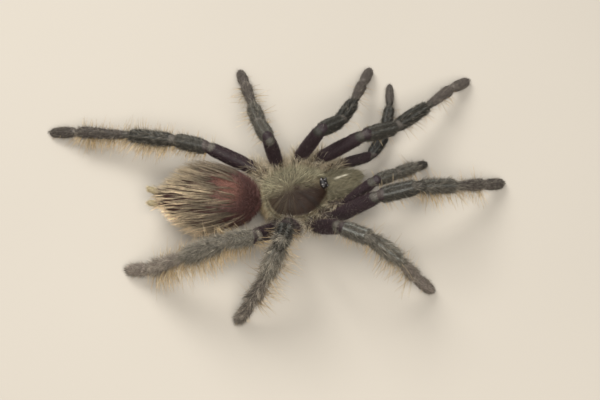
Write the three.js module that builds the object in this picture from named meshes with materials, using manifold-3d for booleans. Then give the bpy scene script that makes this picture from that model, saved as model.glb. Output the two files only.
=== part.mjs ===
// A life-size tarantula, standing on ten feet on a flat floor.
// Millimetres, +Z up, head along +X, its left side along +Y. The short hair is inside these outlines.
// Each limb is a chain of straight pieces that meet on the plane which halves the bend.
import * as THREE from "three";
import { mergeVertices } from "three/addons/utils/BufferGeometryUtils.js";
import Module from "manifold-3d";

const wasm = await Module();
wasm.setup();

// Driving dimensions, all taken to the tips of the short coat.
const CARAPACE_LENGTH = 18;
const CARAPACE_WIDTH = 15.5;
const CARAPACE_DOME = 3.4;
const RIM_HEIGHT = 9;
const SHELL_EDGE = 0.6;
const BELLY_HEIGHT = 4.2;
const HIP_HEIGHT = 7.4;
const COXA_RADIUS = 1.9;
const COXA_DROP = 1.5;
const BREASTPLATE_MIDDLE = -0.6;
const BREASTPLATE_EDGE = 0.8;
const ABDOMEN_START = -10.4;
const ABDOMEN_LENGTH = 27;
const ABDOMEN_WIDTH = 18.6;
const ABDOMEN_DEPTH = 15.4;
const ABDOMEN_HEIGHT = 9.7;
const ABDOMEN_TURN = 165;
const EYES_SETBACK = 1.8;
const CHELICERA_LENGTH = 9.2;
const JAW_WIDTH = 3.4;
const JAW_DEPTH = 6;
const JAW_MIDDLE = 1.9;
const JAW_HEIGHT = 8.6;
const FANG_RADIUS = 0.75;
const FANG_TIP_RADIUS = 0.28;
const SPINNERET_LENGTH = 5;
const SPINNERET_RADIUS = 0.8;
const SPINNERET_SPREAD = 16;
const WAIST_RADIUS = 1.5;
const FOOT_CENTRE_HEIGHT = 1;
const GAP = 0.3;

// Limb kinds: how far the hip is ahead of the middle and out from it, the length of each piece from there
// outwards, and the girth. A palp has no metatarsus.
const LEG_PIECES = ["femur", "patella", "tibia", "metatarsus", "tarsus"];
const PALP_PIECES = ["femur", "patella", "tibia", "tarsus"];
const PALP = {
  name: "palp", hip: [11, 6], girth: 0.85, pieces: PALP_PIECES,
  lengths: [12.7, 7.6, 9.3, 8.4],
};
const LEG_1 = {
  name: "leg_1", hip: [6.4, 8.8], girth: 1, pieces: LEG_PIECES,
  lengths: [16.8, 10.5, 13.1, 11.4, 8.4],
};
const LEG_2 = {
  name: "leg_2", hip: [2.3, 9.9], girth: 0.98, pieces: LEG_PIECES,
  lengths: [15.7, 9.7, 11, 10.5, 8.1],
};
const LEG_3 = {
  name: "leg_3", hip: [-2.9, 9.9], girth: 0.98, pieces: LEG_PIECES,
  lengths: [13.4, 8.4, 9.7, 11.9, 7.6],
};
const LEG_4 = {
  name: "leg_4", hip: [-7.2, 8.2], girth: 1, pieces: LEG_PIECES,
  lengths: [16.8, 9.3, 13.4, 16.5, 8.4],
};

// Radius of each kind of piece near the body, in its middle and at its far end.
const RADII = {
  femur: [2, 2.5, 2.2],
  patella: [2.2, 2.5, 2.2],
  tibia: [2.1, 2.35, 2],
  metatarsus: [1.55, 1.8, 1.9],
  tarsus: [1.35, 1.7, 1.3],
};

// The stance, in degrees: the turn of each piece from straight ahead, counted to the left, and its rise above
// level. The last piece has no rise of its own, because it slopes down to set its foot on the floor.
const LEFT = 1;
const RIGHT = -1;
const STANCE = [
  { side: LEFT, kind: PALP, turn: [13, 47, 66, 73], rise: [-16, -6, -3] },
  { side: LEFT, kind: LEG_1, turn: [1, 15, 28, 33, 30], rise: [34, -20, -19, -20] },
  { side: LEFT, kind: LEG_2, turn: [10, 35, 51, 58, 57], rise: [65, -37, -32, -27] },
  { side: LEFT, kind: LEG_3, turn: [134, 98, 91, 91, 92], rise: [77, -33, -31, -29] },
  { side: LEFT, kind: LEG_4, turn: [146, 152, 154, 155, 156], rise: [15, -3, -11, -16] },
  { side: RIGHT, kind: PALP, turn: [10, 20, 26, 34], rise: [44, -27, -37] },
  { side: RIGHT, kind: LEG_1, turn: [-3, -3, 5, 9, 11], rise: [37, 12, -32, -35] },
  { side: RIGHT, kind: LEG_2, turn: [-53, -44, -33, -30, -29], rise: [56, 22, -44, -60] },
  { side: RIGHT, kind: LEG_3, turn: [-133, -114, -137, -148, -152], rise: [72, 31, -52, -54] },
  { side: RIGHT, kind: LEG_4, turn: [-139, -166, -189, -200, -206], rise: [53, 38, -38, -49] },
];

// How finely the round pieces are faceted.
const LIMB_SIDES = 9;
const BODY_SIDES = 22;
const SMALL_SIDES = 8;
const CUTTER_SIZE = 200;

const FINISH = {
  carapace: { color: 0x5a4f36, roughness: 0.6, metalness: 0 },
  base: { color: 0x2a2120, roughness: 0.7, metalness: 0 },
  abdomen: { color: 0x6a4a3c, roughness: 0.8, metalness: 0 },
  chelicera: { color: 0x5f5a47, roughness: 0.7, metalness: 0 },
  fang: { color: 0x120d0c, roughness: 0.25, metalness: 0 },
  eyes: { color: 0x0c0a0a, roughness: 0.15, metalness: 0 },
  femur: { color: 0x2c2324, roughness: 0.55, metalness: 0 },
  patella: { color: 0x4a463c, roughness: 0.65, metalness: 0 },
  tibia: { color: 0x4c483d, roughness: 0.65, metalness: 0 },
  metatarsus: { color: 0x4a433c, roughness: 0.7, metalness: 0 },
  tarsus: { color: 0x3c3530, roughness: 0.8, metalness: 0 },
};

const radians = THREE.MathUtils.degToRad;
const flat = (x, y) => new THREE.Vector2(x, y);
const point = (x, y, z) => new THREE.Vector3(x, y, z);

// Turns a closed geometry into a solid, with shared corners merged and triangles shrunk to a line dropped.
function solid(geometry) {
  geometry.deleteAttribute("normal");
  geometry.deleteAttribute("uv");
  const merged = mergeVertices(geometry, 1e-4);
  const corners = merged.index.array;
  const triVerts = [];
  for (let i = 0; i < corners.length; i += 3) {
    const [a, b, c] = corners.slice(i, i + 3);
    if (a !== b && b !== c && c !== a) {
      triVerts.push(a, b, c);
    }
  }
  const vertProperties = merged.attributes.position.array;
  const mesh = new wasm.Mesh({ numProp: 3, vertProperties, triVerts: new Uint32Array(triVerts) });
  return new wasm.Manifold(mesh);
}

// Moves every corner of a geometry by a function of its position.
function shaped(geometry, move) {
  const places = geometry.attributes.position;
  const corner = new THREE.Vector3();
  for (let i = 0; i < places.count; i++) {
    corner.fromBufferAttribute(places, i);
    places.setXYZ(i, ...move(corner).toArray());
  }
  return geometry;
}

function named(name, body, finish) {
  const { vertProperties, triVerts } = body.getMesh();
  const geometry = new THREE.BufferGeometry();
  geometry.setAttribute("position", new THREE.BufferAttribute(vertProperties, 3));
  geometry.setIndex(new THREE.BufferAttribute(triVerts, 1));
  geometry.computeVertexNormals();
  const mesh = new THREE.Mesh(geometry, new THREE.MeshStandardMaterial(finish));
  mesh.name = name;
  return mesh;
}

// A round bar with domed ends between two points, with its radius at the start, the middle and the end.
function bar(from, to, [first, middle, last], sides = LIMB_SIDES) {
  const length = from.distanceTo(to);
  const shoulder = Math.SQRT1_2;
  const profile = [
    flat(0, -first),
    flat(first * shoulder, -first * shoulder),
    flat(first, 0),
    flat(middle, length * 0.45),
    flat(last, length),
    flat(last * shoulder, length + last * shoulder),
    flat(0, length + last),
  ];
  const along = to.clone().sub(from).normalize();
  const across = point(0, 0, 1).cross(along).normalize();
  const above = across.clone().cross(along);
  const frame = new THREE.Matrix4().makeBasis(across, along, above).setPosition(from);
  return solid(new THREE.LatheGeometry(profile, sides).applyMatrix4(frame));
}

// Takes off everything beyond a plane and a little more, by a gap. The plane faces away from what is kept.
function cutOff(body, place, facing, gap) {
  const box = new THREE.BoxGeometry(CUTTER_SIZE, CUTTER_SIZE, CUTTER_SIZE);
  box.translate(0, 0, CUTTER_SIZE / 2 - gap);
  box.applyQuaternion(new THREE.Quaternion().setFromUnitVectors(point(0, 0, 1), facing));
  box.translate(place.x, place.y, place.z);
  return body.subtract(solid(box));
}

function heading(turn, rise) {
  const level = Math.cos(radians(rise));
  return point(level * Math.cos(radians(turn)), level * Math.sin(radians(turn)), Math.sin(radians(rise)));
}

// The joint centres of a limb: where its coxa leaves the breastplate, its hip, and on to its foot.
function jointsOf({ kind, side, turn, rise }) {
  const [ahead, out] = kind.hip;
  const root = point(ahead * 0.55 + BREASTPLATE_MIDDLE, side * out * 0.32, HIP_HEIGHT - COXA_DROP);
  const joints = [root, point(ahead, side * out, HIP_HEIGHT)];
  kind.lengths.forEach((length, i) => {
    const start = joints[i + 1];
    const toFloor = THREE.MathUtils.radToDeg(Math.asin((FOOT_CENTRE_HEIGHT * kind.girth - start.z) / length));
    const direction = heading(turn[i], rise[i] ?? toFloor);
    joints.push(start.clone().addScaledVector(direction, length));
  });
  return joints;
}

// The plane between two pieces of a limb halves the bend, and this is its direction.
function bendAt(joints, i) {
  const before = joints[i].clone().sub(joints[i - 1]).normalize();
  const after = joints[i + 1].clone().sub(joints[i]).normalize();
  return before.add(after).normalize();
}

// One piece of a limb, counted from the hip. A margin grows it all round, to cut room for it in a neighbour.
function limbPiece(stance, i, margin) {
  const joints = jointsOf(stance);
  const radii = RADII[stance.kind.pieces[i]].map((radius) => radius * stance.kind.girth + margin);
  const body = bar(joints[i + 1], joints[i + 2], radii);
  const opened = cutOff(body, joints[i + 1], bendAt(joints, i + 1).negate(), GAP / 2 - margin);
  if (i < stance.rise.length) {
    return cutOff(opened, joints[i + 2], bendAt(joints, i + 2), GAP / 2 - margin);
  }
  return cutOff(opened, point(0, 0, 0), point(0, 0, -1), 0);
}

function limb(stance) {
  const group = new THREE.Group();
  const name = `${stance.side === LEFT ? "left" : "right"}_${stance.kind.name}`;
  stance.kind.pieces.forEach((piece, i) => {
    group.add(named(`${name}_${piece}`, limbPiece(stance, i, 0), FINISH[piece]));
  });
  return group;
}

// Half the width of the shell at a place along it: broad behind the middle, narrower across the head.
function shellHalfWidth(x) {
  const along = THREE.MathUtils.clamp((2 * x) / CARAPACE_LENGTH, -1, 1);
  const oval = Math.sqrt(1 - Math.abs(along) ** 3.2);
  const head = 1 - 0.3 * THREE.MathUtils.smoothstep(along, 0.1, 0.95);
  return (CARAPACE_WIDTH / 2) * oval * head;
}

// Height of the shell above its rim: a low dome, high to the front of the head, with a pit behind it.
function domeHeight(x, y, out) {
  const steepness = 2.4 + 2.6 * THREE.MathUtils.smoothstep(x, 0, CARAPACE_LENGTH / 2);
  const dome = CARAPACE_DOME * (1 - out ** steepness);
  const head = 0.7 * Math.exp(-(((x - 5) / 3) ** 2) - (y / 3.2) ** 2) * (1 - out ** 2);
  const pit = 0.5 * Math.exp(-(((x + 2) / 1.2) ** 2) - (y / 1.4) ** 2);
  return SHELL_EDGE + dome + head - pit;
}

// A flat-bottomed shell on the outline of the carapace, grown sideways by a margin.
function shell(margin) {
  const outs = [1, 0.93, 0.8, 0.62, 0.4, 0.2];
  const profile = [flat(0, 0), flat(1, 0), ...outs.map((out) => flat(out, 1)), flat(0, 1)];
  const lathe = new THREE.LatheGeometry(profile, BODY_SIDES);
  return shaped(lathe, ({ x, y, z }) => {
    const out = Math.hypot(x, z);
    const [ahead, aside] = [x / Math.max(out, 1e-9), -z / Math.max(out, 1e-9)];
    const halfWidth = Math.sign(aside) * shellHalfWidth((ahead * CARAPACE_LENGTH) / 2) + aside * margin;
    const place = point((CARAPACE_LENGTH / 2 + margin) * ahead * out, halfWidth * out, RIM_HEIGHT);
    place.z += y * domeHeight(place.x, place.y, out);
    return place;
  });
}

const carapaceBody = solid(shell(0));

// The low turret near the front of the head: two round middle eyes, and three smaller lenses on each side.
function eyes() {
  const ahead = CARAPACE_LENGTH / 2 - EYES_SETBACK;
  const top = RIM_HEIGHT + domeHeight(ahead, 0, (2 * ahead) / CARAPACE_LENGTH);
  const turret = new THREE.SphereGeometry(1, 12, 7).scale(1.25, 1.6, 1).translate(ahead, 0, top);
  let body = solid(turret);
  const lenses = [
    { forward: 0.35, out: 0.55, up: 0.75, radius: 0.42 },
    { forward: 0.95, out: 1, up: 0.1, radius: 0.36 },
    { forward: -0.2, out: 1.3, up: 0.35, radius: 0.34 },
    { forward: -0.7, out: 0.75, up: 0.55, radius: 0.28 },
  ];
  for (const side of [LEFT, RIGHT]) {
    for (const { forward, out, up, radius } of lenses) {
      const lens = new THREE.SphereGeometry(radius, 6, 4).translate(ahead + forward, side * out, top + up);
      body = body.add(solid(lens));
    }
  }
  return named("eyes", body.subtract(carapaceBody.translate([0, 0, GAP])), FINISH.eyes);
}

// One of the two blunt jaws, lying side by side with flat backs against the front of the shell.
function jaw(side, margin) {
  const bulge = [flat(1, 0), flat(1.03, 0.3), flat(0.97, 0.6), flat(0.78, 0.83), flat(0.42, 0.96)];
  const profile = [flat(0, 0), ...bulge, flat(0, 1)];
  const back = CARAPACE_LENGTH / 2 + GAP - margin;
  return shaped(new THREE.LatheGeometry(profile, 12), ({ x, y, z }) => {
    const across = side * JAW_MIDDLE + z * (JAW_WIDTH / 2 + margin);
    const up = JAW_HEIGHT - 1.3 * y ** 2 + x * (JAW_DEPTH / 2 + margin);
    return point(back + y * (CHELICERA_LENGTH + 2 * margin), across, up);
  });
}

// A tapering round piece along a curve.
function horn(curve, [first, last], sides = SMALL_SIDES, steps = 6) {
  const profile = [flat(0, 0)];
  for (let i = 0; i <= steps; i++) {
    profile.push(flat(1, i / steps));
  }
  profile.push(flat(0, 1));
  return shaped(new THREE.LatheGeometry(profile, sides), ({ x, y, z }) => {
    const along = curve.getTangent(y);
    const across = point(0, 0, 1).cross(along).normalize();
    const above = across.clone().cross(along);
    const radius = THREE.MathUtils.lerp(first, last, y);
    return curve.getPoint(y).addScaledVector(across, x * radius).addScaledVector(above, z * radius);
  });
}

// A curved black fang, folded back under the end of its jaw.
function fang(side) {
  const reach = CARAPACE_LENGTH / 2 + CHELICERA_LENGTH;
  const curve = new THREE.QuadraticBezierCurve3(
    point(reach - 0.9, side * JAW_MIDDLE, JAW_HEIGHT - 1.6),
    point(reach - 0.2, side * JAW_MIDDLE, JAW_HEIGHT - JAW_DEPTH / 2 - 2.4),
    point(reach - 4.9, side * (JAW_MIDDLE - 0.3), JAW_HEIGHT - JAW_DEPTH / 2 - 1.2),
  );
  const body = solid(horn(curve, [FANG_RADIUS, FANG_TIP_RADIUS]));
  return body.subtract(solid(jaw(side, GAP)));
}

// The underside: breastplate, the ten coxae with their trochanters, and the flesh that carries the shell.
function base() {
  const edge = BREASTPLATE_EDGE;
  const outline = new THREE.Shape();
  outline.absellipse(BREASTPLATE_MIDDLE, 0, CARAPACE_LENGTH * 0.4, CARAPACE_WIDTH * 0.33, 0, 2 * Math.PI);
  const depth = RIM_HEIGHT - GAP - BELLY_HEIGHT - 2 * edge;
  const rounding = { bevelSize: edge, bevelThickness: edge, bevelSegments: 2 };
  const block = new THREE.ExtrudeGeometry(outline, { depth, curveSegments: 10, ...rounding });
  let body = solid(block.translate(0, 0, BELLY_HEIGHT + edge));
  const [neckLength, neckWidth, neckDepth] = [5, 7, 3.4];
  const neck = new THREE.BoxGeometry(neckLength, neckWidth, neckDepth);
  neck.translate((CARAPACE_LENGTH - neckLength) / 2, 0, RIM_HEIGHT - GAP - neckDepth / 2);
  body = body.add(solid(neck));
  for (const stance of STANCE) {
    const joints = jointsOf(stance);
    const end = COXA_RADIUS * stance.kind.girth;
    const coxa = bar(joints[0], joints[1], [end * 1.1, end * 1.12, end], SMALL_SIDES);
    body = body.add(cutOff(coxa, joints[1], bendAt(joints, 1), GAP / 2));
  }
  for (const stance of STANCE) {
    body = body.subtract(limbPiece(stance, 0, GAP));
  }
  const cap = shaped(shell(GAP), (corner) => {
    corner.z = corner.z > RIM_HEIGHT ? RIM_HEIGHT + CARAPACE_DOME : RIM_HEIGHT - GAP;
    return corner;
  });
  body = body.subtract(solid(cap));
  for (const side of [LEFT, RIGHT]) {
    body = body.subtract(solid(jaw(side, GAP)));
  }
  return body;
}

// An egg lying on its side, fullest behind its middle.
function egg(margin) {
  const profile = [flat(0, 0)];
  const steps = 11;
  for (let i = 1; i < steps; i++) {
    const along = (1 - Math.cos((Math.PI * i) / steps)) / 2;
    profile.push(flat(Math.sin(Math.PI * along ** 0.86) ** 0.66, along));
  }
  profile.push(flat(0, 1));
  const round = new THREE.LatheGeometry(profile, BODY_SIDES);
  round.scale(ABDOMEN_WIDTH / 2 + margin, ABDOMEN_LENGTH + 2 * margin, ABDOMEN_DEPTH / 2 + margin);
  round.translate(0, -margin, 0);
  round.rotateZ(radians(ABDOMEN_TURN - 90));
  return round.translate(ABDOMEN_START, 0, ABDOMEN_HEIGHT);
}

// The egg with the short waist that joins it to the breastplate.
function abdomen() {
  const back = -CARAPACE_LENGTH / 2 + GAP;
  const radii = [WAIST_RADIUS, WAIST_RADIUS, WAIST_RADIUS];
  const waist = bar(point(back, 0, 6.9), point(ABDOMEN_START - 4, 1, 7.8), radii, SMALL_SIDES);
  return solid(egg(0)).add(cutOff(waist, point(back, 0, 0), point(1, 0, 0), GAP));
}

function spinneret(side) {
  const tail = heading(ABDOMEN_TURN, 0).multiplyScalar(ABDOMEN_LENGTH);
  tail.add(point(ABDOMEN_START, 0, ABDOMEN_HEIGHT));
  const out = heading(ABDOMEN_TURN - side * SPINNERET_SPREAD, 8);
  const from = tail.clone().add(point(1.6, side * 0.9, -1.6));
  const middle = from.clone().addScaledVector(out, SPINNERET_LENGTH / 2);
  const to = from.clone().addScaledVector(out, SPINNERET_LENGTH);
  to.z += 0.7;
  const curve = new THREE.QuadraticBezierCurve3(from, middle, to);
  const body = solid(horn(curve, [SPINNERET_RADIUS, SPINNERET_RADIUS * 0.5]));
  return body.subtract(solid(egg(GAP)));
}

const animal = new THREE.Group();
animal.add(named("carapace", carapaceBody, FINISH.carapace));
animal.add(eyes());
animal.add(named("sternum_and_coxae", base(), FINISH.base));
animal.add(named("abdomen", abdomen(), FINISH.abdomen));
for (const [name, side] of [["left", LEFT], ["right", RIGHT]]) {
  animal.add(named(`${name}_chelicera`, solid(jaw(side, 0)), FINISH.chelicera));
  animal.add(named(`${name}_fang`, fang(side), FINISH.fang));
  animal.add(named(`${name}_spinneret`, spinneret(side), FINISH.base));
}
STANCE.forEach((stance) => animal.add(limb(stance)));

// The origin is on the floor, under the middle of the whole stance.
const middle = new THREE.Box3().setFromObject(animal).getCenter(point(0, 0, 0));
animal.position.set(-middle.x, -middle.y, 0);

export default animal;
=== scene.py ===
import bpy
import numpy as np
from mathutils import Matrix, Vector


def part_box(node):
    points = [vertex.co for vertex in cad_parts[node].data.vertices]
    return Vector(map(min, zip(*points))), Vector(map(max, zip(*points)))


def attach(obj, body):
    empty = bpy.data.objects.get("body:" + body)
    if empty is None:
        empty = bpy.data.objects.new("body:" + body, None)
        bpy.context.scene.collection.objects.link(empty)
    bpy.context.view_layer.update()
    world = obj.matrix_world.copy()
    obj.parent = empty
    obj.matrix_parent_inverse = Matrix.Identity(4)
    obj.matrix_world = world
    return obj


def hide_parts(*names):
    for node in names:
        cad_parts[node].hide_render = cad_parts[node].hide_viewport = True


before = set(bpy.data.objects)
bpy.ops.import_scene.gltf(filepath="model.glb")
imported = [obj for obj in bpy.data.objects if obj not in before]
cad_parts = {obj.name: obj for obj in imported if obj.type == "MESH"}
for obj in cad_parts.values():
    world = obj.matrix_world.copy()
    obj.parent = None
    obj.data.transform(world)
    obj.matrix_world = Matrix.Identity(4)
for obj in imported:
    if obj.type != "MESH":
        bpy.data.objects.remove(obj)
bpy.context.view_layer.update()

# ---- Joints of the legs and palps --------------------------------------------------------------------------
# A tarantula's legs are hard tubes that meet at soft joints, with nothing stiff inside them. The middle of
# each joint is read from the two solids that meet there, so that skin and coat follow the same stance.
MM = 0.001
LEG_PIECES = ("femur", "patella", "tibia", "metatarsus", "tarsus")
PALP_PIECES = ("femur", "patella", "tibia", "tarsus")
LIMB_PIECES = {"palp": PALP_PIECES, **{f"leg_{number}": LEG_PIECES for number in (1, 2, 3, 4)}}
MEETING_REACH = 0.7
END_INSET = 0.6
GIRTH_STRETCH = (0.3, 0.6)


def unit(vectors):
    return vectors / np.maximum(np.linalg.norm(vectors, axis=-1, keepdims=True), 1e-9)


def corners_of(node):
    """A solid's corners, in millimetres."""
    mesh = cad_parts[node].data
    flat = np.empty(3 * len(mesh.vertices))
    mesh.vertices.foreach_get("co", flat)
    return flat.reshape(-1, 3) / MM


def meeting(first, second):
    """The middle of the two cut faces with which neighbouring solids meet."""
    a, b = corners_of(first), corners_of(second)
    near = np.linalg.norm(a[:, None] - b[None], axis=2) < MEETING_REACH
    return (a[near.any(1)].mean(0) + b[near.any(0)].mean(0)) / 2


def far_end(node, joint, inset):
    """Where a piece ends beyond its joint, and how thick it is at its middle."""
    spread = corners_of(node) - joint
    heading = unit(spread.mean(0))
    along = spread @ heading
    low, high = (share * along.max() for share in GIRTH_STRETCH)
    middle = (along > low) & (along < high)
    across = np.linalg.norm(spread - along[:, None] * heading, axis=1)
    girth = across[middle].mean() if middle.any() else across.max()
    return joint + heading * (along.max() - inset * girth), girth


limbs = {}
for side in ("left", "right"):
    for kind, pieces in LIMB_PIECES.items():
        nodes = [f"{side}_{kind}_{piece}" for piece in pieces]
        joints = [meeting(a, b) for a, b in zip(nodes, nodes[1:])]
        hip, _ = far_end(nodes[0], joints[0], END_INSET)
        tip, _ = far_end(nodes[-1], joints[-1], END_INSET)
        joints = [hip, *joints, tip]
        girths = [far_end(node, joint, 0)[1] for node, joint in zip(nodes, joints)]
        limbs[f"{side}_{kind}"] = {"pieces": pieces, "nodes": nodes, "joints": joints, "girths": girths}

# ---- The skin ----------------------------------------------------------------------------------------------
# One hide covers legs, palps, hips, jaws, waist, abdomen and spinnerets: a stiff cuticle that narrows to a
# pale soft web at each joint. It is modelled as overlapping rounded tubes, and fused into one closed surface.
SKIN_CELL = 0.35
SOFTENING_PASSES = 4
SKIN_FLOOR = 0.02
COAT_DEPTH = {"leg": 0.55, "foot": 0.42, "jaw": 0.4, "jaw_side_shade": 0.24, "hip": 0.3, "abdomen": 0.75}
UP = np.array([0.0, 0.0, 1.0])

shell_low, shell_high = (np.array(corner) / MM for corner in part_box("carapace"))
body_middle = (shell_low + shell_high) / 2
bones = []
flesh = {"corners": [], "faces": []}


def body_place(ahead, out, height):
    """A place from the middle of the shell: ahead and out to the left, and its height above the floor."""
    return np.array([body_middle[0] + ahead, body_middle[1] + out, height])


def cross_frame(heading):
    """The side and the back of something that runs along a heading."""
    side = unit(np.cross(UP, heading))
    return side, np.cross(heading, side)


def ring_faces(rows, ring, first=0, reverse=False):
    """Four-sided faces between closed rows of corners."""
    faces = []
    for row in range(rows - 1):
        low = first + row * ring
        for i in range(ring):
            j = (i + 1) % ring
            face = (low + i, low + j, low + ring + j, low + ring + i)
            faces.append(face[:1] + face[:0:-1] if reverse else face)
    return faces


def tube_faces(rows, ring, first=0):
    """The faces of a tube that is closed at both ends."""
    last = first + (rows - 1) * ring
    caps = tuple(reversed(range(first, first + ring))), tuple(range(last, last + ring))
    return [*ring_faces(rows, ring, first), *caps]


def add_tube(centres, widths, heights, ring=18):
    """A closed tube of oval section through a row of centres."""
    side, back = cross_frame(unit(centres[-1] - centres[0]))
    turn = np.linspace(0, 2 * np.pi, ring, endpoint=False)
    oval = np.cos(turn)[:, None] * side, np.sin(turn)[:, None] * back
    first = sum(len(part) for part in flesh["corners"])
    for centre, width, height in zip(centres, widths, heights):
        flesh["corners"].append(centre + oval[0] * width + oval[1] * height)
    flesh["faces"] += tube_faces(len(centres), ring, first)


def add_bone(limb, kind, start, end, girth):
    bones.append({"limb": limb, "kind": kind, "start": start, "end": end, "girth": girth})


# How full each piece is along its length, as shares of its girth.
BULGE_PLACES = (0, 0.14, 0.45, 0.85, 1)
BULGES = {
    "coxa": (0.95, 1.0, 1.0, 0.97, 0.84),
    "femur": (0.72, 0.88, 1.0, 0.92, 0.80),
    "patella": (0.70, 0.93, 1.02, 0.96, 0.80),
    "tibia": (0.72, 0.94, 1.0, 0.92, 0.80),
    "metatarsus": (0.66, 0.80, 0.98, 1.20, 0.52),
    "tarsus": (0.42, 0.94, 1.14, 0.96, 0.60),
}
ROW_PLACES = np.array((0, 0.02, 0.06, 0.14, 0.3, 0.45, 0.6, 0.75, 0.86, 0.94, 0.98, 1))
OVERLAP = 0.35
TOE_OVERLAP = 0.4
END_ROUNDING = 0.8
WIDTH_SHARE = 0.97
HEIGHT_SHARE = 1.03


def add_limb_piece(limb, kind, start, end, girth):
    """One hard tube of a limb, with round ends that reach a little into its neighbours."""
    heading = unit(end - start)
    reach = OVERLAP * girth
    start, end = start - heading * reach, end + heading * reach * (TOE_OVERLAP if kind == "tarsus" else 1)
    length = np.linalg.norm(end - start)
    to_end = np.minimum(ROW_PLACES, 1 - ROW_PLACES) * length / (END_ROUNDING * girth)
    rounding = np.sqrt(1 - (1 - np.clip(to_end, 0.004, 1)) ** 2)
    radii = girth * np.interp(ROW_PLACES, BULGE_PLACES, BULGES[kind]) * rounding
    add_tube(start + np.outer(ROW_PLACES, end - start), radii * WIDTH_SHARE, radii * HEIGHT_SHARE)
    add_bone(limb, kind, start, end, girth)


# The hips draw together under the shield: each keeps only a share of its leg's place ahead and out.
HIP_ROOT_AHEAD = 0.55
HIP_ROOT_SHIFT = -0.6
HIP_ROOT_OUT = 0.32
HIP_ROOT_HEIGHT = 5.9
HIP_GIRTH = 0.98
COXA_GIRTH = 0.94
for name, limb in limbs.items():
    hip = limb["joints"][0]
    ahead, out, _ = hip - body_middle
    root = body_place(ahead * HIP_ROOT_AHEAD + HIP_ROOT_SHIFT, out * HIP_ROOT_OUT, HIP_ROOT_HEIGHT)
    hip_girth = HIP_GIRTH * limb["girths"][1] - COAT_DEPTH["hip"]
    add_limb_piece(name, "coxa", root, hip, hip_girth * COXA_GIRTH)
    for piece, start, end, girth in zip(limb["pieces"], limb["joints"], limb["joints"][1:], limb["girths"]):
        depth = COAT_DEPTH["foot" if piece == "tarsus" else "leg"]
        add_limb_piece(name, piece, start, end, girth - depth)

TRUNK_MIDDLE = 0.2
TRUNK_HEIGHT = 7.1
TRUNK_HALF_LENGTH = 8
TRUNK_HALF_WIDTH = 5.9
TRUNK_HALF_DEPTH = 2.2
TRUNK_SQUARENESS = 2.6
TRUNK_GIRTH = 4.6
places = np.linspace(-1, 1, 13)
rounding = np.sqrt(1 - np.minimum(np.abs(places), 0.995) ** TRUNK_SQUARENESS)
centres = np.array([
    body_place(TRUNK_MIDDLE + TRUNK_HALF_LENGTH * place, 0, TRUNK_HEIGHT) for place in places
])
add_tube(centres, TRUNK_HALF_WIDTH * rounding, TRUNK_HALF_DEPTH * rounding, 24)
add_bone("body", "trunk", centres[3], centres[-4], TRUNK_GIRTH)

WAIST_START = np.array((-7, 0, 6.9))
WAIST_STEP = np.array((-1.2, 0.2, 0.15))
WAIST_WIDTH = 1.35
WAIST_DEPTH = 1.3
centres = np.array([body_place(*(WAIST_START + WAIST_STEP * i)) for i in range(7)])
add_tube(centres, np.full(7, WAIST_WIDTH), np.full(7, WAIST_DEPTH))
add_bone("body", "waist", centres[0], centres[4], WAIST_DEPTH)

ABDOMEN_START = -10.4
ABDOMEN_LENGTH = 27
ABDOMEN_WIDTH = 18.6
ABDOMEN_THICKNESS = 15.4
ABDOMEN_TURN = np.radians(165)
ABDOMEN_HEIGHT = 9.7
ABDOMEN_SKEW = 0.86
ABDOMEN_BLUNTNESS = 0.58
FRONT_INSET = 0.6
BOTH_INSETS = 1.6
EGG_BONE_INSETS = (5, 6)
tail_heading = np.array([np.cos(ABDOMEN_TURN), np.sin(ABDOMEN_TURN), 0])
places = (1 - np.cos(np.linspace(0, np.pi, 25))) / 2
fullness = np.sin(np.pi * np.clip(places, 0.0005, 0.9995) ** ABDOMEN_SKEW) ** ABDOMEN_BLUNTNESS
depth = COAT_DEPTH["abdomen"]
egg_start = body_place(ABDOMEN_START, 0, ABDOMEN_HEIGHT) + tail_heading * depth * FRONT_INSET
egg_end = egg_start + tail_heading * (ABDOMEN_LENGTH - BOTH_INSETS * depth)
egg_half_width = ABDOMEN_WIDTH / 2 - depth
egg_half_height = ABDOMEN_THICKNESS / 2 - depth
centres = egg_start + np.outer(places, egg_end - egg_start)
add_tube(centres, egg_half_width * fullness, egg_half_height * fullness, 36)
front, back = egg_start + tail_heading * EGG_BONE_INSETS[0], egg_end - tail_heading * EGG_BONE_INSETS[1]
add_bone("abdomen", "abdomen", front, back, egg_half_height)

JAW_START = 7.4
JAW_END = 18.2
JAW_MIDDLE = 1.9
JAW_HALF_WIDTH = 1.7
JAW_HALF_HEIGHT = 3
JAW_HEIGHT = 8.6
JAW_DROP = 1.3
JAW_DROP_START = 0.2
JAW_GIRTH = 2.2
JAW_BULGE_PLACES = (0, 0.3, 0.5, 0.72, 0.86, 0.95, 1)
JAW_BULGE = (0.72, 1.0, 1.02, 0.93, 0.74, 0.42, 0.1)
SPINNERET_RADIUS = 1.0
SPINNERET_BULGE = (1.0, 1.02, 0.9, 0.97, 0.82, 0.88, 0.6)
SPINNERET_INSET = 1.4
SPINNERET_GIRTH = 0.6
places = np.linspace(0, 1, 14)
bulge = np.interp(places, JAW_BULGE_PLACES, JAW_BULGE)
drop = JAW_DROP * np.clip((places - JAW_DROP_START) / (1 - JAW_DROP_START), 0, 1) ** 2
for sign in (1, -1):
    centres = np.array([
        body_place(JAW_START + (JAW_END - JAW_START) * place, sign * JAW_MIDDLE, JAW_HEIGHT - lower)
        for place, lower in zip(places, drop)
    ])
    half_width, half_height = JAW_HALF_WIDTH - COAT_DEPTH["jaw_side_shade"], JAW_HALF_HEIGHT - COAT_DEPTH["jaw"]
    add_tube(centres, half_width * bulge, half_height * bulge)
    add_bone("jaws", "jaw", centres[1], centres[-4], JAW_GIRTH)
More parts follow.
